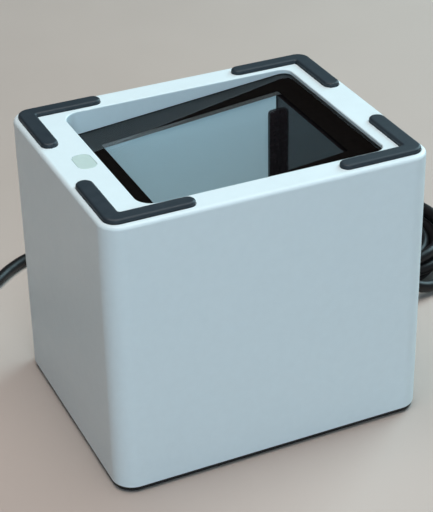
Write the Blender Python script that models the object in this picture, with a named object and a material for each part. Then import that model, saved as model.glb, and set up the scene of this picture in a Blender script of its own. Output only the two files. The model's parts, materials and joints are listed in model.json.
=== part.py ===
"""Desktop code reader with a tilted window in its top face, built as separate pieces.

Metres, +Z up. The front is -Y, the right side is +X, and the reader stands on Z = 0 with
its middle over the origin. Run it with blender --background --python part.py, or from
Blender's text editor.

A white one-piece outer shell drops over a black base plate. The glass is clamped against
the underside of the shell's window opening by a black scan chamber. The chamber's two
sides are white diffusers, lit from behind, and a small camera looks up through its floor.
A cable leaves low on the rear face, is wound into a tied coil behind the reader, and runs
on to a plug in front of the left side.
"""

import math

import bmesh
import bpy
from mathutils import Matrix, Vector

MM = 0.001
GAP = 0.3 * MM  # between pieces that touch
ROUND = 24  # sides of a round piece
SMALL_ROUND = 12  # sides of a screw or a screw hole

# Outer shell
WIDTH = 92.0 * MM
DEPTH = 115.0 * MM
SHELL_HEIGHT = 99.5 * MM
SHELL_BOTTOM = 2.2 * MM
SHELL_TOP = SHELL_BOTTOM + SHELL_HEIGHT
CORNER_RADIUS = 7.5 * MM
TOP_FILLET = 1.4 * MM
WALL = 2.4 * MM
TOP_WALL = 2.0 * MM
CORNER_BOSS = 4.4 * MM  # radius, so that each one runs into the walls of its corner
CORNER_BOSS_Z = (4.8 * MM, 26.0 * MM)
CHAMBER_BOSS = 3.6 * MM
BIG_PILOT = 1.5 * MM  # radius of a hole for a screw
SMALL_PILOT = 1.0 * MM
CABLE_HOLE = 4.2 * MM
HALF_X = WIDTH / 2
HALF_Y = DEPTH / 2

# Window opening in the top face, and the tilted glass under it
OPENING_X = 36.0 * MM
OPENING_FRONT = -41.4 * MM
OPENING_BACK = 43.8 * MM
OPENING_RADIUS = 6.0 * MM
BACK_RELIEF = 1.5 * MM  # the shell is cut this much farther back than OPENING_BACK
BACK_RADIUS = 4.0 * MM
GLASS_DROP_FRONT = 9.4 * MM  # from the top face down to the glass, at the opening's front
GLASS_DROP_BACK = 1.8 * MM
GLASS_SLOPE = (GLASS_DROP_FRONT - GLASS_DROP_BACK) / (OPENING_BACK - OPENING_FRONT)
GLASS_THICK = 2.15 * MM
GLASS_LAP = 2.8 * MM  # how far the glass reaches past the four lines above
GLASS_RADIUS = 4.0 * MM
SURROUND = 1.9 * MM  # wall of the shell's collar around the glass
COLLAR_DEPTH = 2.6 * MM  # from the glass's top face to the collar's lower edge

# Clear window, inside the black border, and the scan chamber under it
WINDOW_X = 26.0 * MM
WINDOW_FRONT = -30.95 * MM
WINDOW_BACK = 36.6 * MM
GASKET_TOP = GLASS_THICK + GAP  # depths below the glass's top face
GASKET_THICK = 1.2 * MM
FLANGE_TOP = GASKET_TOP + GASKET_THICK + GAP
FLANGE_THICK = 2.0 * MM
CHAMBER_WALL = 2.0 * MM
CHAMBER_X = 29.0 * MM  # inner face of a side wall
CHAMBER_FLOOR = 26.0 * MM
EAR = 4.4 * MM  # half width of the chamber's screw ears
CAMERA_Y = (WINDOW_FRONT + WINDOW_BACK) / 2
CAMERA_BOARD_Z = 15.4 * MM
CAMERA_SCREWS = [(-10.5 * MM, CAMERA_Y), (10.5 * MM, CAMERA_Y)]
CAMERA_HOLE = 7.0 * MM  # radius, in the chamber's floor
LIGHT_OPENING = (-17.0 * MM, 23.0 * MM, 34.0 * MM, 86.0 * MM)  # y and z, in the chamber's side walls

# Diffusers, the rails in front of their ends, and the light boards behind them
DIFFUSER_X = 26.5 * MM
DIFFUSER_THICK = 2.0 * MM
RAIL_THICK = 1.4 * MM
RAIL_DROP = 4.8 * MM  # from a diffuser's top edge down to the rail's top
RAIL_BACK_WIDTH = 3.8 * MM
RAIL_FRONT_WIDTH = 4.5 * MM
LIGHT_BOARD_X = 37.0 * MM
LIGHT_BOARD_Y = (-24.0 * MM, 30.0 * MM)
LIGHT_BOARD_Z = (36.0 * MM, 82.0 * MM)
LIGHT_SCREWS = [(-21.0 * MM, 39.0 * MM), (27.0 * MM, 79.0 * MM)]  # as (y, z)
LIGHT_CHIP = 2.8 * MM  # side
THIN_BOARD = 1.2 * MM

# Corner pads on the top face
PAD_OUTER_X = 43.45 * MM
PAD_INNER_X = 38.2 * MM
PAD_OUTER_Y = 55.6 * MM
PAD_INNER_Y = 49.85 * MM
PAD_END_X = 13.8 * MM  # where the legs along the front and back end
PAD_END_Y = 25.5 * MM  # where the legs along the sides end
PAD_PROUD = 1.45 * MM
PAD_SUNK = 0.2 * MM
PAD_RADIUS = 4.4 * MM

# Status light
LENS_X = 5.25 * MM  # half sizes
LENS_Y = 3.25 * MM
LENS_RADIUS = 2.7 * MM
LENS_CENTRE_Y = -46.6 * MM
LENS_GAP = 0.2 * MM
LENS_FOOT = 1.5 * MM  # how far the lens reaches sideways under the top wall
LENS_FOOT_THICK = 0.9 * MM
STATUS_BOARD_TOP = 96.2 * MM
STATUS_POST_Y = -51.4 * MM
STATUS_POSTS_X = (-6.5 * MM, 6.5 * MM)
STATUS_POST = 1.6 * MM  # radius
STATUS_BAY = (-9.0 * MM, 9.0 * MM, -53.6 * MM, -43.1 * MM)  # room cut in the collar for the board

# Base plate, feet and main board
BASE_BOTTOM = 0.8 * MM
BASE_INSET = 1.0 * MM
BASE_TOP = 3.4 * MM
FOOT_RADIUS = 6.0 * MM
FOOT_HEIGHT = 1.2 * MM
FOOT_PLACE = (29.0 * MM, 41.0 * MM)
MAIN_BOARD_X = 34.0 * MM
MAIN_BOARD_Y = (-46.0 * MM, 48.0 * MM)
MAIN_BOARD_Z = 7.3 * MM
MAIN_BOARD_THICK = 1.6 * MM
BASE_SCREW_HEAD = 3.0 * MM  # radius
BASE_SCREW_SEAT = 2.0 * MM  # height of the seat under the head
POST_PLACES = [(x * MM, y * MM) for y in (-28.0, 30.0) for x in (-30.0, 30.0)]
CORNER_BOSSES = [(x * MM, y * MM) for y in (-50.9, 50.9) for x in (-39.4, 39.4)]
CHAMBER_BOSSES = [(x * MM, y * MM) for y in (-49.2, 50.4) for x in (-30.0, 30.0)]

# Ribbons in millimetres, as (y, z) or, for the light boards, as (x, z)
CAMERA_RIBBON_ROUTE = [
    (-3.2, 14.9),
    (-8.2, 14.9),
    (-12.2, 14.2),
    (-15.6, 11.9),
    (-18.0, 10.2),
    (-20.2, 10.0),
]
STATUS_RIBBON_ROUTE = [
    (-50.4, 94.5),
    (-52.6, 93.6),
    (-53.9, 91.0),
    (-54.2, 86.0),
    (-54.2, 24.0),
    (-53.4, 16.0),
    (-50.0, 11.2),
    (-45.4, 10.0),
]
LIGHT_RIBBON_ROUTE = [
    (37.6, 35.6),
    (37.8, 26.0),
    (37.6, 18.0),
    (36.4, 12.6),
    (34.2, 10.5),
    (31.6, 10.0),
]

# Cable
CABLE = 4.65 * MM
CABLE_X = -18.0 * MM
CABLE_Z = 9.2 * MM
RELIEF_LENGTH = 20.0 * MM
TIE_THICK = 0.6 * MM
COIL_CENTRE = (-54.0 * MM, 93.5 * MM)
COIL_MID_RADIUS = 24.0 * MM
COIL_COLUMNS = 4
COIL_LAYERS = 2
COIL_BOTTOM = TIE_THICK + GAP
TIE_ANGLE = 270
TIE_WIDTH = 5.0 * MM

# Cable routes in millimetres, through the middle of the cable
INNER_ROUTE = [
    (-18.0, 51.9, 9.2),
    (-18.0, 51.0, 9.3),
    (-18.0, 49.8, 10.3),
    (-18.0, 48.4, 11.6),
    (-18.0, 44.4, 11.9),
]
LEAD_ROUTE = [
    (-18.0, 78.0, 9.2),
    (-18.0, 83.0, 9.15),
    (-17.7, 88.0, 8.2),
    (-17.4, 93.0, 6.2),
    (-17.7, 98.0, 4.2),
    (-18.8, 102.8, 3.3),
    (-20.0, 106.0, 3.2),
]
RUN_ROUTE = [
    (-28.0, 105.6, 12.86),
    (-31.8, 111.8, 12.86),
    (-37.6, 117.1, 12.86),
    (-44.8, 120.7, 12.86),
    (-52.6, 122.2, 12.86),
    (-60.6, 121.4, 12.86),
    (-68.3, 118.4, 12.86),
    (-74.8, 113.2, 12.86),
    (-79.6, 106.4, 12.86),
    (-82.3, 98.6, 12.86),
    (-83.2, 90.0, 12.86),
    (-83.4, 81.0, 12.86),
    (-83.8, 72.0, 11.6),
    (-85.0, 62.0, 8.6),
    (-87.4, 52.0, 5.2),
    (-91.0, 41.0, 2.8),
    (-95.6, 28.0, 2.36),
    (-101.0, 14.0, 2.36),
    (-107.0, 0.0, 2.36),
    (-111.8, -13.0, 2.36),
    (-113.8, -25.0, 2.36),
    (-111.8, -36.0, 2.36),
    (-106.6, -45.0, 2.36),
    (-100.0, -53.0, 2.36),
    (-94.0, -61.0, 2.36),
    (-88.0, -68.2, 2.6),
    (-81.6, -73.2, 3.4),
    (-76.0, -76.0, 4.1),
]

# Plug: half widths and half heights of its sections, and where they are along it
PLUG_HALF_WIDTH = 7.8 * MM
PLUG_HALF_HEIGHT = 4.0 * MM
PLUG_TAIL = 11.0 * MM
PLUG_BODY = 26.0 * MM
PLUG_SHELL_LENGTH = 18.0 * MM
PLUG_SHELL_HALF = (6.0 * MM, 2.25 * MM)
PLUG_SHELL_WALL = 0.4 * MM


# Outlines and meshes


def rounded_rect(x0, x1, y0, y1, radius, steps=6, back_radius=None):
    """Points round a rectangle with round corners, anticlockwise; back_radius is for those at y1."""
    back = radius if back_radius is None else back_radius
    points = []
    corners = (
        (x1 - back, y1 - back, back, 0),
        (x0 + back, y1 - back, back, 90),
        (x0 + radius, y0 + radius, radius, 180),
        (x1 - radius, y0 + radius, radius, 270),
    )
    for cx, cy, size, start in corners:
        for k in range(steps + 1):
            angle = math.radians(start + 90 * k / steps)
            points.append((cx + size * math.cos(angle), cy + size * math.sin(angle)))
    return points


def rect(x0, x1, y0, y1):
    return [(x1, y1), (x0, y1), (x0, y0), (x1, y0)]


def circle(cx, cy, radius, sides=ROUND):
    turn = 2 * math.pi / sides
    return [
        (cx + radius * math.cos(k * turn), cy + radius * math.sin(k * turn))
        for k in range(sides)
    ]


def glass_level(depth):
    """The height of the plane that lies this far below the glass's top face, over (x, y)."""

    def level(_, y):
        return SHELL_TOP - GLASS_DROP_FRONT + (y - OPENING_FRONT) * GLASS_SLOPE - depth

    return level


def at_level(outline, level):
    """An outline's points at a height, which is a number or a function of x and y."""
    return [(x, y, level(x, y) if callable(level) else level) for x, y in outline]


def skin(rings):
    """Points and faces of a closed solid through rings of equal length, lowest first."""
    count = len(rings[0])
    points = [point for ring in rings for point in ring]
    faces = [tuple(reversed(range(count)))]
    for k in range(len(rings) - 1):
        low, high = k * count, (k + 1) * count
        for i in range(count):
            j = (i + 1) % count
            faces.append((low + i, low + j, high + j, high + i))
    top = (len(rings) - 1) * count
    faces.append(tuple(range(top, top + count)))
    return points, faces


def prism(outline, low, high):
    return skin([at_level(outline, low), at_level(outline, high)])


def frame_prism(outer, inner, low, high):
    """A prism with a hole; both outlines have the same number of points."""
    count = len(outer)
    points = at_level(outer, low) + at_level(outer, high)
    points += at_level(inner, low) + at_level(inner, high)
    faces = []
    for i in range(count):
        j = (i + 1) % count
        a, b, c, d = i, count + i, 2 * count + i, 3 * count + i
        e, f, g, h = j, count + j, 2 * count + j, 3 * count + j
        faces += [(a, e, f, b), (d, h, g, c), (b, f, h, d), (c, g, e, a)]
    return points, faces


def turned(profile, sides=ROUND):
    """A profile of (radius, height) turned about Z: up the outside, and closed at both ends."""
    points, rows = [], []
    for radius, height in profile:
        row = []
        for k in range(1 if radius == 0 else sides):
            angle = 2 * math.pi * k / sides
            row.append(len(points))
            points.append((radius * math.cos(angle), radius * math.sin(angle), height))
        rows.append(row)
    faces = []
    loop = profile[0][0] > 0
    pairs = list(zip(rows, rows[1:] + rows[:1])) if loop else list(zip(rows, rows[1:]))
    for low, high in pairs:
        for k in range(sides):
            j = (k + 1) % sides
            ring = (low[k % len(low)], low[j % len(low)], high[j % len(high)], high[k % len(high)])
            faces.append(tuple(dict.fromkeys(ring)))
    return points, faces


def together(*shapes):
    """Several (points, faces) as one."""
    points, faces = [], []
    for more_points, more_faces in shapes:
        start = len(points)
        points += more_points
        faces += [tuple(start + i for i in face) for face in more_faces]
    return points, faces


def moved(shape, matrix):
    points, faces = shape
    return [tuple(matrix @ Vector(point)) for point in points], faces


def shifted(shape, x=0.0, y=0.0, z=0.0):
    return moved(shape, Matrix.Translation((x, y, z)))


def box(x0, x1, y0, y1, z0, z1):
    return prism(rect(x0, x1, y0, y1), z0, z1)


def mirrored_x(shape):
    points, faces = shape
    return [(-x, y, z) for x, y, z in points], [tuple(reversed(face)) for face in faces]


# Objects and materials


def material(name, color, roughness, metallic=0.0):
    made = bpy.data.materials.new(name)
    made.use_nodes = True
    shader = made.node_tree.nodes["Principled BSDF"]
    shader.inputs["Base Color"].default_value = (*color, 1.0)
    shader.inputs["Roughness"].default_value = roughness
    shader.inputs["Metallic"].default_value = metallic
    return made


def add(name, shape, look=None, smooth_angle=35):
    """An object from (points, faces), with its own material."""
    mesh = bpy.data.meshes.new(name)
    mesh.from_pydata([tuple(point) for point in shape[0]], [], shape[1])
    mesh.validate()
    mesh.shade_smooth()
    mesh.set_sharp_from_angle(angle=math.radians(smooth_angle))
    made = bpy.data.objects.new(name, mesh)
    bpy.context.scene.collection.objects.link(made)
    if look:
        mesh.materials.append(material(name, *look))
    return made


def boolean(target, shape, operation):
    """Cuts a shape from a piece, or joins it to the piece."""
    number = len(target.modifiers) + 1
    tool = add(f"{target.name}_tool_{number}", shape)
    tool.hide_render = True
    tool.display_type = "WIRE"
    modifier = target.modifiers.new(f"{operation.lower()}_{number}", "BOOLEAN")
    modifier.operation = operation
    modifier.solver = "EXACT"
    modifier.object = tool


def cut(target, shape):
    boolean(target, shape, "DIFFERENCE")


def join(target, shape):
    boolean(target, shape, "UNION")


WHITE_PLASTIC = ((0.80, 0.83, 0.84), 0.45)
BLACK_PLASTIC = ((0.012, 0.012, 0.014), 0.4)
BLACK_GLOSS = ((0.01, 0.01, 0.012), 0.12)
DARK_RUBBER = ((0.035, 0.045, 0.055), 0.8)
BLACK_RUBBER = ((0.015, 0.015, 0.016), 0.75)
GREEN_BOARD = ((0.02, 0.12, 0.05), 0.5)
WHITE_BOARD = ((0.75, 0.77, 0.75), 0.4)
MILKY = ((0.70, 0.78, 0.80), 0.35)
STEEL = ((0.55, 0.56, 0.58), 0.3, 1.0)
GLASS = ((0.05, 0.06, 0.06), 0.03)
FOAM = ((0.10, 0.10, 0.095), 0.9)
CHIP = ((0.02, 0.02, 0.022), 0.5)
IVORY = ((0.72, 0.68, 0.55), 0.5)
RIBBON = ((0.70, 0.72, 0.74), 0.4)


# Outer shell


def corner_signs():
    return [(sx, sy) for sy in (-1, 1) for sx in (-1, 1)]


def corner_name(sx, sy):
    return ("front" if sy < 0 else "rear") + ("_left" if sx < 0 else "_right")


def pad_outline(grow=0.0, steps=5):
    """The L of the rear right pad: a leg along the rear and a leg along the side."""
    outer_x, inner_x = PAD_OUTER_X + grow, PAD_INNER_X - grow
    outer_y, inner_y = PAD_OUTER_Y + grow, PAD_INNER_Y - grow
    half_x, half_y = (outer_x - inner_x) / 2, (outer_y - inner_y) / 2
    end_x, end_y = PAD_END_X - grow, PAD_END_Y - grow
    radius = PAD_RADIUS + grow
    arcs = (
        ((inner_x + half_x, end_y + half_x), half_x, 180, 360),
        ((outer_x - radius, outer_y - radius), radius, 0, 90),
        ((end_x + half_y, inner_y + half_y), half_y, 90, 270),
    )
    points = []
    for (cx, cy), size, start, stop in arcs:
        for k in range(steps * (stop - start) // 90 + 1):
            angle = math.radians(start + 90 * k / steps)
            points.append((cx + size * math.cos(angle), cy + size * math.sin(angle)))
    return points + [(inner_x, inner_y)]


def in_corner(outline, sx, sy):
    """The rear right corner's outline, mirrored into another corner and kept anticlockwise."""
    points = [(sx * x, sy * y) for x, y in outline]
    return points if sx * sy > 0 else points[::-1]


def outer_shell():
    rings = [(SHELL_BOTTOM, 0.0)]
    for k in range(4):
        angle = math.radians(30 * k)
        height = SHELL_TOP - TOP_FILLET * (1 - math.sin(angle))
        rings.append((height, TOP_FILLET * (1 - math.cos(angle))))
    outlines = []
    for height, inset in rings:
        x, y = HALF_X - inset, HALF_Y - inset
        outlines.append(at_level(rounded_rect(-x, x, -y, y, CORNER_RADIUS - inset), height))
    shell = add("outer_shell", skin(outlines), WHITE_PLASTIC)
    inner_x, inner_y = HALF_X - WALL, HALF_Y - WALL
    cavity = rounded_rect(-inner_x, inner_x, -inner_y, inner_y, CORNER_RADIUS - WALL)
    cut(shell, prism(cavity, SHELL_BOTTOM - 1 * MM, SHELL_TOP - TOP_WALL))

    seat = GLASS_LAP + GAP
    collar = around_opening(seat + SURROUND, GLASS_RADIUS + SURROUND)
    in_wall = SHELL_TOP - TOP_WALL / 2  # where the collar, bosses and posts end, inside the top wall
    join(shell, prism(collar, glass_level(COLLAR_DEPTH), in_wall))

    bosses = [
        prism(circle(x, y, CHAMBER_BOSS), glass_level(FLANGE_TOP - GAP), in_wall + 0.1 * MM)
        for x, y in CHAMBER_BOSSES
    ]
    bosses += [prism(circle(x, y, CORNER_BOSS), *CORNER_BOSS_Z) for x, y in CORNER_BOSSES]
    join(shell, together(*bosses))

    back_edge = OPENING_BACK + BACK_RELIEF
    opening = rounded_rect(
        -OPENING_X, OPENING_X, OPENING_FRONT, back_edge, OPENING_RADIUS, back_radius=BACK_RADIUS
    )
    cut(shell, prism(opening, SHELL_TOP - 20 * MM, SHELL_TOP + 2 * MM))
    cut(shell, prism(around_opening(seat, GLASS_RADIUS), SHELL_TOP - 30 * MM, glass_level(-GAP)))

    # The collar is cut away for the status light's board, and two posts hold the board.
    cut(shell, box(*STATUS_BAY, SHELL_TOP - 24 * MM, SHELL_TOP - TOP_WALL + 0.01 * MM))
    posts = [
        prism(circle(x, STATUS_POST_Y, STATUS_POST, SMALL_ROUND), STATUS_BOARD_TOP + GAP, in_wall)
        for x in STATUS_POSTS_X
    ]
    join(shell, together(*posts))

    lens = rounded_rect(
        -LENS_X - LENS_GAP,
        LENS_X + LENS_GAP,
        LENS_CENTRE_Y - LENS_Y - LENS_GAP,
        LENS_CENTRE_Y + LENS_Y + LENS_GAP,
        LENS_RADIUS + LENS_GAP,
    )
    holes = [prism(lens, SHELL_TOP - 6 * MM, SHELL_TOP + 1 * MM)]
    floor = SHELL_TOP - PAD_SUNK - GAP
    for sx, sy in corner_signs():
        holes.append(prism(in_corner(pad_outline(GAP), sx, sy), floor, SHELL_TOP + 1 * MM))
    cut(shell, together(*holes))

    big = [(x, y, SHELL_TOP - 25 * MM, SHELL_TOP - 1.4 * MM) for x, y in CHAMBER_BOSSES]
    big += [(x, y, 4 * MM, 18 * MM) for x, y in CORNER_BOSSES]
    small = [(x, STATUS_POST_Y, STATUS_BOARD_TOP, SHELL_TOP - 1.6 * MM) for x in STATUS_POSTS_X]
    holes = [pilot(BIG_PILOT, *place) for place in big] + [pilot(SMALL_PILOT, *place) for place in small]
    cable_hole = prism(circle(0, 0, CABLE_HOLE), -4 * MM, 4 * MM)
    holes.append(moved(cable_hole, along_y(CABLE_X, HALF_Y - WALL / 2, CABLE_Z)))
    cut(shell, together(*holes))


def around_opening(grow, radius):
    return rounded_rect(
        -OPENING_X - grow, OPENING_X + grow, OPENING_FRONT - grow, OPENING_BACK + grow, radius
    )


def pilot(radius, x, y, low, high):
    """A cutter for an upright screw hole."""
    return prism(circle(x, y, radius, SMALL_ROUND), low, high)


def along_y(x, y, z):
    """Turns local +Z to +Y and moves it to a place."""
    return Matrix.Translation((x, y, z)) @ Matrix.Rotation(math.radians(-90), 4, "X")


def corner_pads():
    low, high = SHELL_TOP - PAD_SUNK, SHELL_TOP + PAD_PROUD
    for sx, sy in corner_signs():
        shape = prism(in_corner(pad_outline(), sx, sy), low, high)
        add(f"corner_pad_{corner_name(sx, sy)}", shape, DARK_RUBBER)


# Status light: a lens flush with the top face, and a small board with one light under it


def status_light():
    y0, y1 = LENS_CENTRE_Y - LENS_Y, LENS_CENTRE_Y + LENS_Y
    window = rounded_rect(-LENS_X, LENS_X, y0, y1, LENS_RADIUS)
    foot = rounded_rect(-LENS_X - LENS_FOOT, LENS_X + LENS_FOOT, y0, y1, LENS_RADIUS)
    step = SHELL_TOP - TOP_WALL - GAP
    rings = [
        at_level(foot, step - LENS_FOOT_THICK),
        at_level(foot, step),
        at_level(window, step),
        at_level(window, SHELL_TOP),
    ]
    add("status_light_lens", skin(rings), MILKY)
    top = STATUS_BOARD_TOP
    plate = box(-8.6 * MM, 8.6 * MM, -53.2 * MM, -44.8 * MM, top - THIN_BOARD, top)
    board = add("status_light_board", plate, GREEN_BOARD)
    cut(board, screw_holes([(x, STATUS_POST_Y, top) for x in STATUS_POSTS_X]))
    chip = box(-1.6 * MM, 1.6 * MM, -48.2 * MM, -45.2 * MM, top - 0.2 * MM, top + 1.3 * MM)
    join(board, chip)


def screw_holes(places, radius=SMALL_PILOT, reach=3.0 * MM):
    """Cutters for upright holes through a board."""
    return together(*[pilot(radius, x, y, z - reach, z + reach) for x, y, z in places])


# Glass, gasket and scan chamber


def window_glass():
    outline = around_opening(GLASS_LAP, GLASS_RADIUS)
    add("window_glass", prism(outline, glass_level(GLASS_THICK), glass_level(0)), GLASS)
    clear = rounded_rect(-WINDOW_X, WINDOW_X, WINDOW_FRONT, WINDOW_BACK, 1.0 * MM)
    low, high = glass_level(GASKET_TOP + GASKET_THICK), glass_level(GASKET_TOP)
    add("window_gasket", frame_prism(outline, clear, low, high), FOAM)


def along_x(sign, x, y, z):
    """Turns local +Z to the outside of the right or the left, and moves it to a place."""
    return Matrix.Translation((sign * x, y, z)) @ Matrix.Rotation(math.radians(sign * 90), 4, "Y")


def scan_chamber():
    outer_x = CHAMBER_X + CHAMBER_WALL
    front, back = WINDOW_FRONT - CHAMBER_WALL, WINDOW_BACK + CHAMBER_WALL
    walls = rounded_rect(-outer_x, outer_x, front, back, 1.5 * MM, 3)
    body = prism(walls, CHAMBER_FLOOR - CHAMBER_WALL, glass_level(FLANGE_TOP + 0.6 * MM))
    chamber = add("scan_chamber", body, BLACK_GLOSS)
    flange_bottom = FLANGE_TOP + FLANGE_THICK
    flange = around_opening(GLASS_LAP, GLASS_RADIUS)
    join(chamber, prism(flange, glass_level(flange_bottom), glass_level(FLANGE_TOP)))
    ears = []
    inside_flange = GLASS_LAP - 1.2 * MM
    for x, y in CHAMBER_BOSSES:
        edge = OPENING_FRONT - inside_flange if y < 0 else OPENING_BACK + inside_flange
        tip = y + math.copysign(EAR, y)
        ear = rounded_rect(x - EAR, x + EAR, min(edge, tip), max(edge, tip), 0.9 * EAR)
        low, high = glass_level(flange_bottom - 0.1 * MM), glass_level(FLANGE_TOP + 0.1 * MM)
        ears.append(prism(ear, low, high))
    join(chamber, together(*ears))
    inside = rounded_rect(-CHAMBER_X, CHAMBER_X, WINDOW_FRONT, WINDOW_BACK, 0.5 * MM, 2)
    cut(chamber, prism(inside, CHAMBER_FLOOR, SHELL_TOP))

    top = glass_level(FLANGE_TOP + RAIL_DROP)
    low = CHAMBER_FLOOR - 0.5 * MM
    rail_x = (DIFFUSER_X - GAP - RAIL_THICK, DIFFUSER_X - GAP)
    back_rail = rect(*rail_x, WINDOW_BACK - RAIL_BACK_WIDTH, WINDOW_BACK + 0.5 * MM)
    front_rail = rect(*rail_x, WINDOW_FRONT - 0.5 * MM, WINDOW_FRONT + RAIL_FRONT_WIDTH)
    rails = [prism(back_rail, low, top), prism(front_rail, low, top)]
    join(chamber, together(*rails, *[mirrored_x(rail) for rail in rails]))

    # Pegs for the two light boards and the camera's board
    sunk = 0.6 * MM
    light_pegs = [(sign, y, z) for sign in (-1, 1) for y, z in LIGHT_SCREWS]
    peg = prism(circle(0, 0, 2.0 * MM, SMALL_ROUND), 0, LIGHT_BOARD_X - GAP - outer_x + sunk)
    pegs = [moved(peg, along_x(sign, outer_x - sunk, y, z)) for sign, y, z in light_pegs]
    seat = CAMERA_BOARD_Z + THIN_BOARD + GAP
    for x, y in CAMERA_SCREWS:
        pegs.append(prism(circle(x, y, 2.2 * MM, SMALL_ROUND), seat, CHAMBER_FLOOR - sunk))
    join(chamber, together(*pegs))

    light_opening = box(CHAMBER_X - 0.2 * MM, outer_x + 1 * MM, *LIGHT_OPENING)
    holes = [light_opening, mirrored_x(light_opening)]
    camera_hole = circle(0, CAMERA_Y, CAMERA_HOLE)
    holes.append(prism(camera_hole, CHAMBER_FLOOR - 2 * CHAMBER_WALL, CHAMBER_FLOOR + CHAMBER_WALL))
    holes += [pilot(BIG_PILOT, x, y, SHELL_TOP - 25 * MM, SHELL_TOP) for x, y in CHAMBER_BOSSES]
    peg_hole = pilot(SMALL_PILOT, 0, 0, -4 * MM, 1 * MM)
    holes += [moved(peg_hole, along_x(sign, LIGHT_BOARD_X - GAP, y, z)) for sign, y, z in light_pegs]
    holes += [
        pilot(SMALL_PILOT, x, y, CAMERA_BOARD_Z, CHAMBER_FLOOR - 2.6 * MM) for x, y in CAMERA_SCREWS
    ]
    cut(chamber, together(*holes))


def diffusers_and_lights():
    y0, y1 = WINDOW_FRONT + GAP, WINDOW_BACK - GAP
    low = CHAMBER_FLOOR + GAP
    outline = rect(DIFFUSER_X, DIFFUSER_X + DIFFUSER_THICK, y0, y1)
    panel = prism(outline, low, glass_level(FLANGE_TOP))
    board = box(LIGHT_BOARD_X, LIGHT_BOARD_X + THIN_BOARD, *LIGHT_BOARD_Y, *LIGHT_BOARD_Z)
    half = LIGHT_CHIP / 2
    face = LIGHT_BOARD_X
    chip = box(face - 0.8 * MM, face + 0.2 * MM, -half, half, -half, half)
    middle_y, middle_z = sum(LIGHT_BOARD_Y) / 2, sum(LIGHT_BOARD_Z) / 2
    lights = together(
        *[
            shifted(chip, y=middle_y + 8 * MM * i, z=middle_z + 12 * MM * j)
            for i in (-2, -1, 0, 1, 2)
            for j in (-1, 0, 1)
        ]
    )
    for side, name in ((-1, "left"), (1, "right")):
        place = mirrored_x if side < 0 else (lambda shape: shape)
        add(f"diffuser_{name}", place(panel), MILKY)
        light_board = add(f"light_board_{name}", place(board), WHITE_BOARD)
        hole = prism(circle(0, 0, 1.0 * MM, SMALL_ROUND), -1 * MM, 3 * MM)
        cut(light_board, together(*[moved(hole, along_x(side, LIGHT_BOARD_X, y, z)) for y, z in LIGHT_SCREWS]))
        join(light_board, place(lights))


# Camera under the chamber's floor


def camera():
    y = CAMERA_Y
    board_top = CAMERA_BOARD_Z + THIN_BOARD
    plate = box(-14 * MM, 14 * MM, y - 10 * MM, y + 10 * MM, CAMERA_BOARD_Z, board_top)
    board = add("camera_board", plate, GREEN_BOARD)
    cut(board, screw_holes([(x, hole_y, board_top) for x, hole_y in CAMERA_SCREWS]))
    sensor = box(-3.2 * MM, 3.2 * MM, y - 2.6 * MM, y + 2.6 * MM, board_top + GAP, board_top + 1.2 * MM)
    add("image_sensor", sensor, CHIP)
    foot = board_top + GAP
    holder_outline = rounded_rect(-7 * MM, 7 * MM, y - 7 * MM, y + 7 * MM, 1.0 * MM, 2)
    holder = add("lens_holder", prism(holder_outline, foot, foot + 5.6 * MM), BLACK_PLASTIC)
    cut(holder, prism(circle(0, y, 4.6 * MM), foot - 1 * MM, foot + 7 * MM))
    barrel_profile = [
        (2.4 * MM, 19.0 * MM),
        (4.2 * MM, 19.0 * MM),
        (4.2 * MM, 24.6 * MM),
        (5.4 * MM, 24.6 * MM),
        (5.4 * MM, 27.6 * MM),
        (3.4 * MM, 27.6 * MM),
        (3.4 * MM, 26.0 * MM),
        (2.4 * MM, 26.0 * MM),
    ]
    add("lens_barrel", shifted(turned(barrel_profile), y=y), BLACK_PLASTIC)
    dome = [
        (0.0, 26.3 * MM),
        (3.1 * MM, 26.3 * MM),
        (3.1 * MM, 26.8 * MM),
        (1.8 * MM, 27.25 * MM),
        (0.0, 27.4 * MM),
    ]
    add("lens_front_glass", shifted(turned(dome), y=y), GLASS)


# Base plate, feet, main board and what is on it


def base_plate():
    lip_x, lip_y = HALF_X - BASE_INSET, HALF_Y - BASE_INSET
    inset = WALL + 0.4 * MM
    plug_x, plug_y = HALF_X - inset, HALF_Y - inset
    step = SHELL_BOTTOM - GAP
    lip = rounded_rect(-lip_x, lip_x, -lip_y, lip_y, CORNER_RADIUS - BASE_INSET)
    plug = rounded_rect(-plug_x, plug_x, -plug_y, plug_y, CORNER_RADIUS - inset)
    rings = [
        at_level(lip, BASE_BOTTOM),
        at_level(lip, step),
        at_level(plug, step),
        at_level(plug, BASE_TOP),
    ]
    base = add("base_plate", skin(rings), BLACK_PLASTIC)
    sunk = BASE_TOP - 0.6 * MM
    posts = [prism(circle(x, y, 3.0 * MM), sunk, MAIN_BOARD_Z - GAP) for x, y in POST_PLACES]
    join(base, together(*posts))
    foot_x, foot_y = FOOT_PLACE
    recess = FOOT_HEIGHT + GAP
    holes = [
        prism(circle(sx * foot_x, sy * foot_y, FOOT_RADIUS + GAP), BASE_BOTTOM - 1 * MM, recess)
        for sx, sy in corner_signs()
    ]
    head, shaft, seat = BASE_SCREW_HEAD + GAP, BIG_PILOT + 0.2 * MM, BASE_SCREW_SEAT + GAP
    stepped = [(0.0, -1 * MM), (head, -1 * MM), (head, seat), (shaft, seat), (shaft, 6 * MM), (0.0, 6 * MM)]
    holes += [shifted(turned(stepped), x, y) for x, y in CORNER_BOSSES]
    low, high = BASE_TOP - 0.8 * MM, MAIN_BOARD_Z + 1 * MM
    holes += [pilot(1.3 * MM, x, y, low, high) for x, y in POST_PLACES]
    cut(base, together(*holes))


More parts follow.
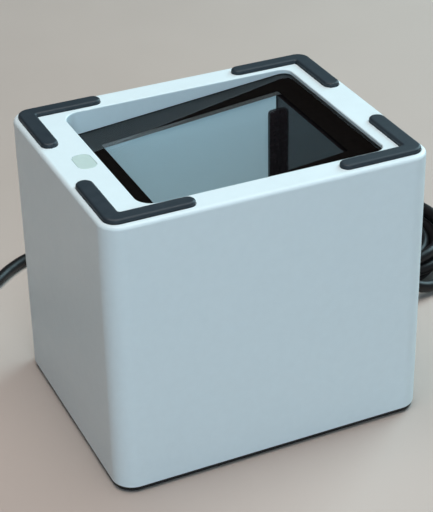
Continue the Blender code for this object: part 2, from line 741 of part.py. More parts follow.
def rubber_feet():
    profile = [
        (0.0, 0.0),
        (FOOT_RADIUS - 0.5 * MM, 0.0),
        (FOOT_RADIUS, 0.4 * MM),
        (FOOT_RADIUS, FOOT_HEIGHT),
        (0.0, FOOT_HEIGHT),
    ]
    foot_x, foot_y = FOOT_PLACE
    for sx, sy in corner_signs():
        foot = add(f"rubber_foot_{corner_name(sx, sy)}", turned(profile), BLACK_RUBBER)
        foot.location = (sx * foot_x, sy * foot_y, 0)


def main_board():
    low, high = MAIN_BOARD_Z, MAIN_BOARD_Z + MAIN_BOARD_THICK
    board = add("main_board", box(-MAIN_BOARD_X, MAIN_BOARD_X, *MAIN_BOARD_Y, low, high), GREEN_BOARD)
    cut(board, screw_holes([(x, y, high) for x, y in POST_PLACES], 1.5 * MM))
    seat = high + GAP
    add("processor_chip", box(-7 * MM, 7 * MM, 12 * MM, 26 * MM, seat, seat + 1.4 * MM), CHIP)
    add("memory_chip", box(-21 * MM, -12 * MM, 8 * MM, 19 * MM, seat, seat + 1.1 * MM), CHIP)

    # What is soldered to the board: a coil, four capacitors and four ribbon sockets
    sunk = high - 0.3 * MM
    coil = rounded_rect(13 * MM, 20 * MM, 10 * MM, 17 * MM, 1.2 * MM, 2)
    soldered = [prism(coil, sunk, seat + 3.0 * MM)]
    can = turned([(0.0, 0.0), (2.5 * MM, 0.0), (2.5 * MM, 4.6 * MM), (2.1 * MM, 5.0 * MM), (0.0, 5.0 * MM)], 16)
    soldered += [shifted(can, x * MM, y * MM, sunk) for x in (12, 18.5) for y in (24.5, 32)]
    ribbon_socket = box(-4.6 * MM, 4.6 * MM, -1.8 * MM, 1.8 * MM, sunk, seat + 1.5 * MM)
    soldered += [shifted(ribbon_socket, y=-22.4 * MM), shifted(ribbon_socket, y=-43.2 * MM)]
    across = moved(ribbon_socket, Matrix.Rotation(math.radians(90), 4, "Z"))
    soldered += [shifted(across, side * 29.4 * MM, 3 * MM) for side in (-1, 1)]
    join(board, together(*soldered))
    buzzer = turned(
        [
            (0.0, 0.0),
            (6.0 * MM, 0.0),
            (6.0 * MM, 5.2 * MM),
            (5.6 * MM, 5.6 * MM),
            (1.2 * MM, 5.6 * MM),
            (1.2 * MM, 4.4 * MM),
            (0.0, 4.4 * MM),
        ]
    )
    add("buzzer", shifted(buzzer, 20 * MM, -32 * MM, seat), BLACK_PLASTIC)
    socket = add("cable_socket", box(-23 * MM, -13 * MM, 41 * MM, 47 * MM, seat, seat + 5.2 * MM), IVORY)
    cut(socket, box(-22 * MM, -14 * MM, 43 * MM, 48 * MM, seat + 1 * MM, seat + 4.4 * MM))
    cable("cable_inner_end", in_metres(INNER_ROUTE), 2.6 * MM, BLACK_RUBBER)


def strip(route, half_width, thickness=0.3 * MM):
    """A flat ribbon in the YZ plane, from points (y, z) in millimetres, centred on X = 0."""
    points = [Vector((y, z)) * MM for y, z in route]
    sides = []
    for i, point in enumerate(points):
        run = points[min(i + 1, len(points) - 1)] - points[max(i - 1, 0)]
        normal = Vector((-run.y, run.x)).normalized() * thickness / 2
        sides.append((point + normal, point - normal))
    rings = [
        [(-half_width, a.x, a.y), (half_width, a.x, a.y), (half_width, b.x, b.y), (-half_width, b.x, b.y)]
        for a, b in sides
    ]
    return skin(rings)


def ribbons():
    add("camera_ribbon", strip(CAMERA_RIBBON_ROUTE, 4.0 * MM), RIBBON)
    add("status_ribbon", strip(STATUS_RIBBON_ROUTE, 3.0 * MM), RIBBON)
    side = strip(LIGHT_RIBBON_ROUTE, 4.0 * MM)
    for sign, name in ((-1, "left"), (1, "right")):
        turn = Matrix.Translation((0, 3 * MM, 0)) @ Matrix.Rotation(math.radians(-90 * sign), 4, "Z")
        add(f"light_ribbon_{name}", moved(side, turn), RIBBON)


# Screws, of five kinds


def screw(shaft_radius, length, head_radius, head_height):
    """A screw pointing up from its head, whose seat is at Z = 0, with a round recess in its head."""
    profile = [
        (0.0, -head_height + 0.4 * MM),
        (0.45 * head_radius, -head_height + 0.4 * MM),
        (0.45 * head_radius, -head_height),
        (head_radius, -head_height),
        (head_radius, 0.0),
        (shaft_radius, 0.0),
        (shaft_radius, length),
        (0.0, length),
    ]
    return turned(profile, SMALL_ROUND)


def add_screws(name, shape, places):
    """One screw at each of four places, front left first, named after its corner."""
    for (x, y, z), (sx, sy) in zip(places, corner_signs()):
        made = add(f"{name}_{corner_name(sx, sy)}", shape, STEEL)
        made.location = (x, y, z)


def screws():
    over = Matrix.Rotation(math.pi, 4, "X")
    long_screw = screw(1.2 * MM, 13.0 * MM, BASE_SCREW_HEAD, 1.2 * MM)
    add_screws("base_screw", long_screw, [(x, y, BASE_SCREW_SEAT) for x, y in CORNER_BOSSES])
    board_screw = moved(screw(1.0 * MM, 5.0 * MM, 2.4 * MM, 1.3 * MM), over)
    seat = MAIN_BOARD_Z + MAIN_BOARD_THICK + GAP
    add_screws("main_board_screw", board_screw, [(x, y, seat) for x, y in POST_PLACES])
    ear_screw = screw(1.1 * MM, 4.6 * MM, 2.6 * MM, 1.3 * MM)
    ear = glass_level(FLANGE_TOP + FLANGE_THICK + 2 * GAP)
    add_screws("chamber_screw", ear_screw, [(x, y, ear(x, y)) for x, y in CHAMBER_BOSSES])
    small = screw(0.7 * MM, 3.6 * MM, 1.6 * MM, 1.1 * MM)
    face = LIGHT_BOARD_X + THIN_BOARD + GAP
    for (x, y), side, name in zip(CAMERA_SCREWS, (-1, 1), ("left", "right")):
        add(f"camera_board_screw_{name}", shifted(small, x, y, CAMERA_BOARD_Z - GAP), STEEL)
        for place, height in zip(LIGHT_SCREWS, ("lower", "upper")):
            inward = moved(small, along_x(side, face, *place) @ over)
            add(f"light_board_screw_{name}_{height}", inward, STEEL)


# Cable


def smooth_route(route, spacing):
    """Points this far apart on a smooth curve through a route's points."""
    points = [Vector(point) for point in route]
    ends = [2 * points[0] - points[1], *points, 2 * points[-1] - points[-2]]
    fine = []
    for a, b, c, d in zip(ends, ends[1:], ends[2:], ends[3:]):
        for k in range(16):
            t = k / 16
            fine.append(
                0.5
                * (2 * b + (c - a) * t + (2 * a - 5 * b + 4 * c - d) * t * t + (3 * b - a - 3 * c + d) * t**3)
            )
    fine.append(points[-1])
    along = [0.0]
    for a, b in zip(fine, fine[1:]):
        along.append(along[-1] + (b - a).length)
    count = max(2, round(along[-1] / spacing))
    spaced, i = [], 0
    for k in range(count + 1):
        target = along[-1] * k / count
        while i < len(along) - 2 and along[i + 1] < target:
            i += 1
        share = (target - along[i]) / max(along[i + 1] - along[i], 1e-9)
        spaced.append(fine[i].lerp(fine[i + 1], min(share, 1.0)))
    return spaced


def cable(name, route, diameter, look):
    """A round cable along a route in metres."""
    curve = bpy.data.curves.new(name, "CURVE")
    curve.dimensions = "3D"
    curve.bevel_depth = diameter / 2
    curve.bevel_resolution = 2
    curve.use_fill_caps = True
    points = smooth_route(route, 2.2 * diameter)
    spline = curve.splines.new("POLY")
    spline.points.add(len(points) - 1)
    for place, point in zip(spline.points, points):
        place.co = (*point, 1.0)
    made = bpy.data.objects.new(name, curve)
    curve.materials.append(material(name, *look))
    bpy.context.scene.collection.objects.link(made)


def strain_relief():
    """A moulded boot held in the rear wall, with grooves that let it bend."""
    profile = [
        (0.0, -4.6 * MM),
        (5.2 * MM, -4.6 * MM),
        (5.2 * MM, -WALL - GAP),
        (3.8 * MM, -WALL - GAP),
        (3.8 * MM, GAP),
        (5.2 * MM, GAP),
        (5.2 * MM, 1.8 * MM),
    ]
    grooves = 5
    first, pitch = 3.2 * MM, 3.1 * MM
    for k in range(grooves):
        start = first + k * pitch
        outer = (4.3 - 0.22 * k) * MM
        inner = outer - 0.7 * MM
        profile += [(outer, start - 1.0 * MM), (outer, start)]
        profile += [(inner, start + 0.3 * MM), (inner, start + 1.4 * MM)]
    tip = RELIEF_LENGTH
    profile += [(3.3 * MM, tip - 1.6 * MM), (3.1 * MM, tip), (0.0, tip)]
    boot = add("cable_strain_relief", turned(profile, 16), BLACK_RUBBER)
    boot.matrix_world = along_y(CABLE_X, HALF_Y, CABLE_Z)


def cable_coil():
    reach = COIL_COLUMNS * CABLE / 2
    inner, outer = COIL_MID_RADIUS - reach, COIL_MID_RADIUS + reach
    low, high = COIL_BOTTOM, COIL_BOTTOM + COIL_LAYERS * CABLE
    section = rounded_rect(inner, outer, low, high, 0.48 * CABLE, 2)
    ring = add("cable_coil", turned(section, 36), BLACK_RUBBER)
    ring.location = (*COIL_CENTRE, 0)
    inside = rounded_rect(inner - 2 * GAP, outer + GAP, low - GAP, high + GAP, 0.4 * CABLE, 3)
    grow = GAP + TIE_THICK
    around = rounded_rect(
        inner - GAP - grow, outer + grow, low - grow, high + grow, 0.4 * CABLE + TIE_THICK, 3
    )
    band = frame_prism(around, inside, -TIE_WIDTH / 2, TIE_WIDTH / 2)
    upright = Matrix.Rotation(math.radians(90), 4, "X")
    turn = Matrix.Translation((*COIL_CENTRE, 0)) @ Matrix.Rotation(math.radians(TIE_ANGLE), 4, "Z")
    add("cable_tie", moved(band, turn @ upright), BLACK_RUBBER)


def usb_plug():
    """The plug, along its own +X from the cable's end."""
    end, before = Vector(RUN_ROUTE[-1]), Vector(RUN_ROUTE[-2])
    heading = math.atan2(end.y - before.y, end.x - before.x)
    holder = bpy.data.objects.new("usb_plug_place", None)
    holder.location = end * MM
    holder.rotation_euler = (0, 0, heading)
    bpy.context.scene.collection.objects.link(holder)
    stand_up = Matrix(((0, 0, 1, 0), (1, 0, 0, 0), (0, 1, 0, 0), (0, 0, 0, 1)))

    def section(half_width, half_height, radius):
        return rounded_rect(-half_width, half_width, -half_height, half_height, radius, 4)

    tail = section(3.2 * MM, 3.2 * MM, 3.15 * MM)
    waist = section(3.8 * MM, 3.7 * MM, 3.4 * MM)
    body = section(PLUG_HALF_WIDTH, PLUG_HALF_HEIGHT, 2.0 * MM)
    nose = section(PLUG_HALF_WIDTH - 0.6 * MM, PLUG_HALF_HEIGHT - 0.5 * MM, 1.6 * MM)
    start = GAP
    shoulder = start + PLUG_TAIL
    front = shoulder + PLUG_BODY
    rings = [
        at_level(tail, start),
        at_level(waist, shoulder - 1.5 * MM),
        at_level(section(6.4 * MM, PLUG_HALF_HEIGHT - 0.2 * MM, 2.6 * MM), shoulder + 0.8 * MM),
        at_level(body, shoulder + 4.5 * MM),
        at_level(body, front - 1.0 * MM),
        at_level(nose, front),
    ]
    half_width, half_height = PLUG_SHELL_HALF
    inner_width, inner_height = half_width - PLUG_SHELL_WALL, half_height - PLUG_SHELL_WALL
    shell_start = front + GAP
    metal = frame_prism(
        section(half_width, half_height, 0.7 * MM),
        section(inner_width, inner_height, 0.35 * MM),
        shell_start,
        shell_start + PLUG_SHELL_LENGTH,
    )
    grip = add("usb_plug_grip", moved(skin(rings), stand_up), BLACK_RUBBER)
    grip.parent = holder
    tongue = rect(-inner_width + GAP, inner_width - GAP, GAP, inner_height - GAP)
    tongue_end = shell_start + PLUG_SHELL_LENGTH - 0.6 * MM
    place = Matrix.Translation(holder.location) @ Matrix.Rotation(heading, 4, "Z") @ stand_up
    join(grip, moved(prism(tongue, front - 2 * MM, tongue_end), place))
    shell = add("usb_plug_shell", moved(metal, stand_up), STEEL)
    shell.parent = holder


def in_metres(route):
    return [tuple(value * MM for value in point) for point in route]


def main():
    for old in list(bpy.data.objects):
        bpy.data.objects.remove(old, do_unlink=True)
    outer_shell()
    corner_pads()
    status_light()
    window_glass()
    scan_chamber()
    diffusers_and_lights()
    camera()
    base_plate()
    rubber_feet()
    main_board()
    ribbons()
    screws()
    strain_relief()
    cable("cable_lead", in_metres(LEAD_ROUTE), CABLE, BLACK_RUBBER)
    cable_coil()
    cable("cable_run", in_metres(RUN_ROUTE), CABLE, BLACK_RUBBER)
    usb_plug()


main()
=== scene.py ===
"""Looks of the desktop code reader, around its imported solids. Metres, +Z up, front at -Y."""

import json
import math

import bpy
from mathutils import Matrix, Vector


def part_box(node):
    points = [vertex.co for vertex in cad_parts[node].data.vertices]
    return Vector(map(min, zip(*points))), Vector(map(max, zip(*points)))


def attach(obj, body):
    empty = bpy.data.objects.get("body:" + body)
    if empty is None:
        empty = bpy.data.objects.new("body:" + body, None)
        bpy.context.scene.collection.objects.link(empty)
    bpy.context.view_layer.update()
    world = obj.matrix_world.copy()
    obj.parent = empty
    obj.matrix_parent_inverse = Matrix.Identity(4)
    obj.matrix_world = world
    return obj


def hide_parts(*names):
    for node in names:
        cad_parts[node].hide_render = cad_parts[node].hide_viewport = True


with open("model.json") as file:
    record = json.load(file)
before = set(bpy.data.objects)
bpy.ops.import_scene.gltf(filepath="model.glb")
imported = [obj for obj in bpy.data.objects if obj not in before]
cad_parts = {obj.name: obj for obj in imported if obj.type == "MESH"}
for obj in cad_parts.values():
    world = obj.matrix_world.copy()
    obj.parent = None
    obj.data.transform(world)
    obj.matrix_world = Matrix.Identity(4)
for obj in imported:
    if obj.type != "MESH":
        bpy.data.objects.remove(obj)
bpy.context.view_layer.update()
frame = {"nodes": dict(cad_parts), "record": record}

MM = 0.001
BODY = "root"
GAP = 0.3 * MM

# Shell, opening and glass
SHELL_LOW, SHELL_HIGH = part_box("outer_shell")
SHELL_SIDE = (SHELL_LOW.x, SHELL_HIGH.x, SHELL_LOW.y, SHELL_HIGH.y)
SHELL_TOP = SHELL_HIGH.z
CORNER_RADIUS = 7.5 * MM
TOP_FILLET = 1.4 * MM
FOOT_FILLET = 0.35 * MM
WALL = 2.4 * MM
TOP_WALL = 2.0 * MM
OPENING = (-36.0 * MM, 36.0 * MM, -41.4 * MM, 43.8 * MM)
OPENING_RADIUS = 6.0 * MM
BACK_RELIEF = 1.5 * MM  # the shell is cut this much farther back than OPENING's rear line
BACK_RADIUS = 4.0 * MM
GLASS_DROP_FRONT, GLASS_DROP_BACK = 9.4 * MM, 1.8 * MM  # from the top face down to the glass
GLASS_SLOPE = (GLASS_DROP_FRONT - GLASS_DROP_BACK) / (OPENING[3] - OPENING[2])
GLASS_THICK = 2.15 * MM
GLASS_LAP = 2.8 * MM  # how far the glass reaches past OPENING's four lines
GLASS_RADIUS = 4.0 * MM
SURROUND = 1.9 * MM  # wall of the collar around the glass
COLLAR_DEPTH = 2.6 * MM  # from the glass's top face to the collar's lower edge
WINDOW = (-26.0 * MM, 26.0 * MM, -30.95 * MM, 36.6 * MM)
GASKET_DEPTH = GLASS_THICK + GAP + 1.2 * MM
FLANGE_DEPTH = GASKET_DEPTH + GAP
CAMERA_Y = (WINDOW[2] + WINDOW[3]) / 2

# Cable, with its routes in mm
CABLE = 4.65 * MM
CABLE_X, CABLE_Z = -18.0 * MM, 9.2 * MM  # where it leaves the rear wall
CABLE_HOLE = 4.2 * MM
LEAD_ROUTE = [
    (-18.0, 78.0, 9.2),
    (-18.0, 83.0, 9.15),
    (-17.7, 88.0, 8.2),
    (-17.4, 93.0, 6.2),
    (-17.7, 98.0, 4.2),
    (-18.8, 102.8, 3.3),
    (-20.0, 106.0, 3.2),
]
RUN_ROUTE = [
    (-28.0, 105.6, 12.86),
    (-31.8, 111.8, 12.86),
    (-37.6, 117.1, 12.86),
    (-44.8, 120.7, 12.86),
    (-52.6, 122.2, 12.86),
    (-60.6, 121.4, 12.86),
    (-68.3, 118.4, 12.86),
    (-74.8, 113.2, 12.86),
    (-79.6, 106.4, 12.86),
    (-82.3, 98.6, 12.86),
    (-83.2, 90.0, 12.86),
    (-83.4, 81.0, 12.86),
    (-83.8, 72.0, 11.6),
    (-85.0, 62.0, 8.6),
    (-87.4, 52.0, 5.2),
    (-91.0, 41.0, 2.8),
    (-95.6, 28.0, 2.36),
    (-101.0, 14.0, 2.36),
    (-107.0, 0.0, 2.36),
    (-111.8, -13.0, 2.36),
    (-113.4, -25.0, 2.36),
    (-111.6, -36.0, 2.36),
    (-106.6, -45.0, 2.36),
    (-100.0, -53.0, 2.36),
    (-94.0, -61.0, 2.36),
    (-88.0, -68.2, 2.6),
    (-81.6, -73.2, 3.4),
    (-76.0, -76.0, 4.1),
]
COIL_CENTRE = (-54.0, 93.5)
COIL_INNER, COIL_PITCH, COIL_BOTTOM = 17.025, 4.65, 3.225
COIL_COLUMNS = 4
# In degrees round the coil: where the lead joins it, its turns change columns, and the run leaves
LEAD_ANGLE, STEP_ANGLE, RUN_ANGLE = 20.2, 40.0, 25.0
LEAD_RADIUS, RUN_RADIUS, RUN_HEIGHT = 36.2, 28.7, 12.86
LEAD_SWEEP, RUN_SWEEP = 62, 95  # degrees taken to join the coil and to leave it
STEP_SHARE = 0.24  # of a turn, taken to change columns
WINDING_STEP = 7.5  # degrees between its points


# Outlines and meshes


def rounded_rect(x0, x1, y0, y1, radius, steps=12, back_radius=None):
    """Points round a rectangle with round corners; back_radius is for those at y1."""
    back = radius if back_radius is None else back_radius
    points = []
    corners = (
        (x1 - back, y1 - back, back, 0),
        (x0 + back, y1 - back, back, 90),
        (x0 + radius, y0 + radius, radius, 180),
        (x1 - radius, y0 + radius, radius, 270),
    )
    for cx, cy, size, start in corners:
        for k in range(steps + 1):
            angle = math.radians(start + 90 * k / steps)
            points.append((cx + size * math.cos(angle), cy + size * math.sin(angle)))
    return points


def grown(rect, grow):
    return rect[0] - grow, rect[1] + grow, rect[2] - grow, rect[3] + grow


def circle(cx, cy, radius, sides=48):
    turn = 2 * math.pi / sides
    return [(cx + radius * math.cos(k * turn), cy + radius * math.sin(k * turn)) for k in range(sides)]


def glass_level(depth):
    """The height of the plane this far below the glass's top face, over (x, y)."""

    def level(_, y):
        return SHELL_TOP - GLASS_DROP_FRONT + (y - OPENING[2]) * GLASS_SLOPE - depth

    return level


def at_level(outline, level):
    return [(x, y, level(x, y) if callable(level) else level) for x, y in outline]


def skin(rings):
    """A closed solid through rings of equal length, lowest first."""
    count = len(rings[0])
    points = [point for ring in rings for point in ring]
    faces = [tuple(reversed(range(count)))]
    for k in range(len(rings) - 1):
        low, high = k * count, (k + 1) * count
        for i in range(count):
            j = (i + 1) % count
            faces.append((low + i, low + j, high + j, high + i))
    top = (len(rings) - 1) * count
    faces.append(tuple(range(top, top + count)))
    return points, faces


def prism(outline, low, high):
    return skin([at_level(outline, low), at_level(outline, high)])


def box(x0, x1, y0, y1, z0, z1):
    return prism([(x1, y1), (x0, y1), (x0, y0), (x1, y0)], z0, z1)


def flared(outline_of, low, top, radius, steps=5):
    """A cutter whose hole gets a rounded upper edge; outline_of(grow) gives its outline."""
    rings = [at_level(outline_of(0.0), low)]
    for k in range(steps + 1):
        angle = math.radians(90 * k / steps)
        grow, drop = radius * (1 - math.cos(angle)), radius * (1 - math.sin(angle))
        rings.append(at_level(outline_of(grow), top - drop))
    rings.append(at_level(outline_of(radius), top + 2 * MM))
    return skin(rings)


def pillow(outline_of, low, high, radius, low_radius=0.0, rise=None, steps=6):
    """A solid with rounded upper edges, as high as rise, and lower ones where low_radius is given."""
    rise = radius if rise is None else rise
    rings = []
    if low_radius:
        for k in range(steps):
            angle = math.radians(90 * k / steps)
            inset, lift = low_radius * (1 - math.sin(angle)), low_radius * (1 - math.cos(angle))
            rings.append(at_level(outline_of(-inset), low + lift))
    rings.append(at_level(outline_of(0.0), low + low_radius))
    for k in range(steps + 1):
        angle = math.radians(90 * k / steps)
        inset, drop = radius * (1 - math.cos(angle)), rise * (1 - math.sin(angle))
        rings.append(at_level(outline_of(-inset), high - drop))
    return skin(rings)


def frame_prism(outer, inner, low, high):
    """A frame between two outlines with as many points each."""
    count = len(outer)
    points = at_level(outer, low) + at_level(outer, high) + at_level(inner, low) + at_level(inner, high)
    faces = []
    for i in range(count):
        j = (i + 1) % count
        a, b, c, d = i, count + i, 2 * count + i, 3 * count + i
        e, f, g, h = j, count + j, 2 * count + j, 3 * count + j
        faces += [(a, e, f, b), (d, h, g, c), (b, f, h, d), (c, g, e, a)]
    return points, faces


def turned(profile, sides=64):
    """A profile of (radius, height) turned about Z: up the outside, closed at both ends."""
    points, rows = [], []
    for radius, height in profile:
        row = []
        for k in range(1 if radius == 0 else sides):
            angle = 2 * math.pi * k / sides
            row.append(len(points))
            points.append((radius * math.cos(angle), radius * math.sin(angle), height))
        rows.append(row)
    faces = []
    pairs = list(zip(rows, rows[1:] + rows[:1] if profile[0][0] > 0 else rows[1:]))
    for low, high in pairs:
        for k in range(sides):
            j = (k + 1) % sides
            ring = (low[k % len(low)], low[j % len(low)], high[j % len(high)], high[k % len(high)])
            faces.append(tuple(dict.fromkeys(ring)))
    return points, faces


def rounded_profile(profile, radius, steps=4):
    """A turned profile in mm, with its inner corners rounded."""
    out = []
    for i, corner in enumerate(profile):
        point = Vector(corner)
        if i in (0, len(profile) - 1) or corner[0] == 0:
            out.append(tuple(point * MM))
            continue
        before, after = Vector(profile[i - 1]), Vector(profile[i + 1])
        reach = min(radius, (point - before).length * 0.45, (after - point).length * 0.45)
        start = point + (before - point).normalized() * reach
        stop = point + (after - point).normalized() * reach
        for k in range(steps + 1):
            t = k / steps
            place = start * (1 - t) ** 2 + point * 2 * t * (1 - t) + stop * t * t
            out.append(tuple(place * MM))
    return out


def together(*shapes):
    points, faces = [], []
    for more_points, more_faces in shapes:
        start = len(points)
        points += more_points
        faces += [tuple(start + i for i in face) for face in more_faces]
    return points, faces


def moved(shape, matrix):
    points, faces = shape
    return [tuple(matrix @ Vector(point)) for point in points], faces


def shifted(shape, x=0.0, y=0.0, z=0.0):
    return moved(shape, Matrix.Translation((x, y, z)))


def mirrored_x(shape):
    points, faces = shape
    return [(-x, y, z) for x, y, z in points], [tuple(reversed(face)) for face in faces]


def along_y(x, y, z):
    """Stands a shape's +Z along +Y, at this place."""
    return Matrix.Translation((x, y, z)) @ Matrix.Rotation(math.radians(-90), 4, "X")


def along_x(sign, x, y, z):
    """Stands a shape's +Z outwards along X on the given side, this far from the middle."""
    return Matrix.Translation((sign * x, y, z)) @ Matrix.Rotation(math.radians(sign * 90), 4, "Y")


# Pieces


def bare(name, shape):
    mesh = bpy.data.meshes.new(name)
    mesh.from_pydata([tuple(point) for point in shape[0]], [], shape[1])
    mesh.validate()
    made = bpy.data.objects.new(name, mesh)
    bpy.context.scene.collection.objects.link(made)
    return made


def combine(target, shape, operation):
    """Cuts a shape from a piece, or joins it on, and keeps the result as the piece's mesh."""
    tool = bare("tool", shape)
    modifier = target.modifiers.new("step", "BOOLEAN")
    modifier.operation = operation
    modifier.solver = "EXACT"
    modifier.object = tool
    graph = bpy.context.evaluated_depsgraph_get()
    mesh = bpy.data.meshes.new_from_object(target.evaluated_get(graph))
    target.modifiers.clear()
    old, target.data = target.data, mesh
    mesh.name = target.name
    bpy.data.meshes.remove(old)
    bpy.data.objects.remove(tool, do_unlink=True)


def finished(target, look, replaces="", bevel=0.0, angle=32):
    """Shading, edges, material and frame facts of a new piece."""
    mesh = target.data
    mesh.materials.clear()
    mesh.materials.append(look)
    mesh.shade_smooth()
    mesh.set_sharp_from_angle(angle=math.radians(angle))
    if bevel:
        edge = target.modifiers.new("edges", "BEVEL")
        edge.width = bevel
        edge.segments = 3
        edge.limit_method = "ANGLE"
        edge.angle_limit = math.radians(angle)
        edge.harden_normals = False
    weights = target.modifiers.new("normals", "WEIGHTED_NORMAL")
    weights.keep_sharp = True
    weights.weight = 80
    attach(target, BODY)
    if replaces:
        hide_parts(replaces)


def piece(name, shape, look, replaces="", bevel=0.0, angle=32):
    finished(bare(name, shape), look, replaces, bevel, angle)


# Materials


def new_material(name):
    made = bpy.data.materials.new(name)
    made.use_nodes = True
    tree = made.node_tree
    place = tree.nodes.new("ShaderNodeTexCoord").outputs["Object"]
    return made, tree, tree.nodes["Principled BSDF"], place


def noise(tree, place, scale, detail=3.0, roughness=0.5):
    node = tree.nodes.new("ShaderNodeTexNoise")
    node.inputs["Scale"].default_value = scale
    node.inputs["Detail"].default_value = detail
    node.inputs["Roughness"].default_value = roughness
    tree.links.new(place, node.inputs["Vector"])
    return node.outputs["Fac"]


def spread(tree, source, low, high, start=0.3, stop=0.7):
    node = tree.nodes.new("ShaderNodeMapRange")
    node.inputs["From Min"].default_value = start
    node.inputs["From Max"].default_value = stop
    node.inputs["To Min"].default_value = low
    node.inputs["To Max"].default_value = high
    tree.links.new(source, node.inputs["Value"])
    return node.outputs["Result"]


def two_colours(tree, source, first, second, start=0.3, stop=0.7):
    node = tree.nodes.new("ShaderNodeValToRGB")
    node.color_ramp.elements[0].position, node.color_ramp.elements[1].position = start, stop
    node.color_ramp.elements[0].color = (*first, 1.0)
    node.color_ramp.elements[1].color = (*second, 1.0)
    tree.links.new(source, node.inputs["Fac"])
    return node.outputs["Color"]


def bump(tree, source, distance):
    node = tree.nodes.new("ShaderNodeBump")
    node.inputs["Distance"].default_value = distance
    node.inputs["Strength"].default_value = 1.0
    tree.links.new(source, node.inputs["Height"])
    return node.outputs["Normal"]


def surface(
    name, colour, roughness, vary=0.04, mottle=450.0, grain=2600.0, depth=0.012, rough_vary=0.05, **sockets
):
    """A moulded finish: slightly mottled colour, uneven gloss and a fine grain (depth in mm)."""
    made, tree, shader, place = new_material(name)
    light = tuple(min(1.0, c * (1 + vary)) for c in colour)
    dark = tuple(c * (1 - vary) for c in colour)
    patches = noise(tree, place, mottle, 4.0, 0.6)
    tree.links.new(two_colours(tree, patches, dark, light), shader.inputs["Base Color"])
    cloud = noise(tree, place, mottle * 0.35, 2.0)
    rough = spread(tree, cloud, max(0.01, roughness - rough_vary), min(1.0, roughness + rough_vary))
    tree.links.new(rough, shader.inputs["Roughness"])
    if depth:
        tree.links.new(bump(tree, noise(tree, place, grain, 2.0), depth * MM), shader.inputs["Normal"])
    for socket, value in sockets.items():
        shader.inputs[socket.replace("_", " ")].default_value = value
    return made


def glass_look(name, tint):
    """Clear glass whose inside is lit through it: lamps and scattered light pass straight."""
    made, tree, shader, place = new_material(name)
    shader.inputs["Base Color"].default_value = (*tint, 1.0)
    shader.inputs["Transmission Weight"].default_value = 1.0
    shader.inputs["IOR"].default_value = 1.5
    smear = noise(tree, place, 60.0, 2.0)
    tree.links.new(spread(tree, smear, 0.0, 0.006), shader.inputs["Roughness"])
    clear = tree.nodes.new("ShaderNodeBsdfTransparent")
    clear.inputs["Color"].default_value = (*(c**0.5 for c in tint), 1.0)
    path = tree.nodes.new("ShaderNodeLightPath")
    either = tree.nodes.new("ShaderNodeMath")
    either.operation = "MAXIMUM"
    tree.links.new(path.outputs["Is Shadow Ray"], either.inputs[0])
    tree.links.new(path.outputs["Is Diffuse Ray"], either.inputs[1])
    mix = tree.nodes.new("ShaderNodeMixShader")
    tree.links.new(either.outputs[0], mix.inputs[0])
    tree.links.new(shader.outputs[0], mix.inputs[1])
    tree.links.new(clear.outputs[0], mix.inputs[2])
    tree.links.new(mix.outputs[0], tree.nodes["Material Output"].inputs["Surface"])
    return made


WHITE = surface("white_moulded", (0.70, 0.80, 0.83), 0.42, vary=0.012, mottle=320.0, depth=0.006)
PAD = surface("pad_rubber", (0.0115, 0.0215, 0.0305), 0.55, vary=0.06, mottle=700.0, depth=0.010)
MILKY_LENS = surface("lens_milky", (0.50, 0.62, 0.59), 0.42, vary=0.02, depth=0.003)
BORDER = surface(
    "border_print", (0.0055, 0.0045, 0.004), 0.5, vary=0.2, depth=0.0, Specular_IOR_Level=0.0
)
CHAMBER = surface(
    "chamber_black", (0.020, 0.0125, 0.0135), 0.09, vary=0.06, depth=0.002, rough_vary=0.03
)
# The diffusers' emission is a painted glow, no lamp, standing in for the light they scatter.
DIFFUSER_PAINTED_GLOW = surface(
    "diffuser_milky_painted_glow",
    (0.66, 0.80, 0.84),
    0.45,
    vary=0.015,
    mottle=160.0,
    depth=0.004,
    Emission_Color=(0.40, 0.62, 0.72, 1.0),
)
FOAM = surface(
    "gasket_foam", (0.14, 0.13, 0.12), 0.95, vary=0.35, mottle=1500.0, grain=1800.0, depth=0.10
)
BLACK_CASE = surface(
    "black_moulded", (0.008, 0.008, 0.009), 0.5, vary=0.12, depth=0.010, Specular_IOR_Level=0.3
)
FOOT = surface("foot_rubber", (0.020, 0.020, 0.021), 0.78, vary=0.15, mottle=900.0, depth=0.02)
CABLE_BLACK = surface(
    "cable_black",
    (0.0085, 0.008, 0.0085),
    0.42,
    vary=0.12,
    mottle=500.0,
    grain=1400.0,
    depth=0.008,
    Specular_IOR_Level=0.28,
)
BOOT_BLACK = surface("boot_black", (0.014, 0.015, 0.016), 0.45, vary=0.12, depth=0.012)
TIE_BLACK = surface(
    "tie_black", (0.016, 0.016, 0.017), 0.85, vary=0.3, mottle=2200.0, grain=3000.0, depth=0.06
)
PLUG_BLACK = surface("plug_black", (0.014, 0.014, 0.015), 0.40, vary=0.12, depth=0.012)
BOARD = surface("board_green", (0.012, 0.085, 0.035), 0.35, vary=0.35, mottle=260.0, depth=0.02)
BOARD_WHITE = surface("board_white", (0.74, 0.75, 0.72), 0.38, vary=0.05, mottle=300.0, depth=0.01)
CHIP = surface("chip_black", (0.020, 0.020, 0.022), 0.52, vary=0.2, mottle=2000.0, depth=0.01)
IVORY = surface("ivory_moulded", (0.72, 0.68, 0.55), 0.45, vary=0.04, depth=0.008)
RIBBON = surface("ribbon_flat", (0.68, 0.70, 0.72), 0.35, vary=0.08, mottle=900.0, depth=0.01)
STEEL = surface(
    "steel_screw", (0.52, 0.53, 0.55), 0.30, vary=0.08, mottle=1200.0, depth=0.004, Metallic=1.0
)
GOLD = surface(
    "contact_gold", (0.80, 0.58, 0.24), 0.25, vary=0.06, mottle=1500.0, depth=0.002, Metallic=1.0
)
TONGUE = surface("tongue_white", (0.70, 0.70, 0.68), 0.45, vary=0.03, depth=0.006)
NICKEL = surface(
    "nickel_plug", (0.62, 0.62, 0.61), 0.22, vary=0.05, mottle=500.0, depth=0.002, Metallic=1.0
)
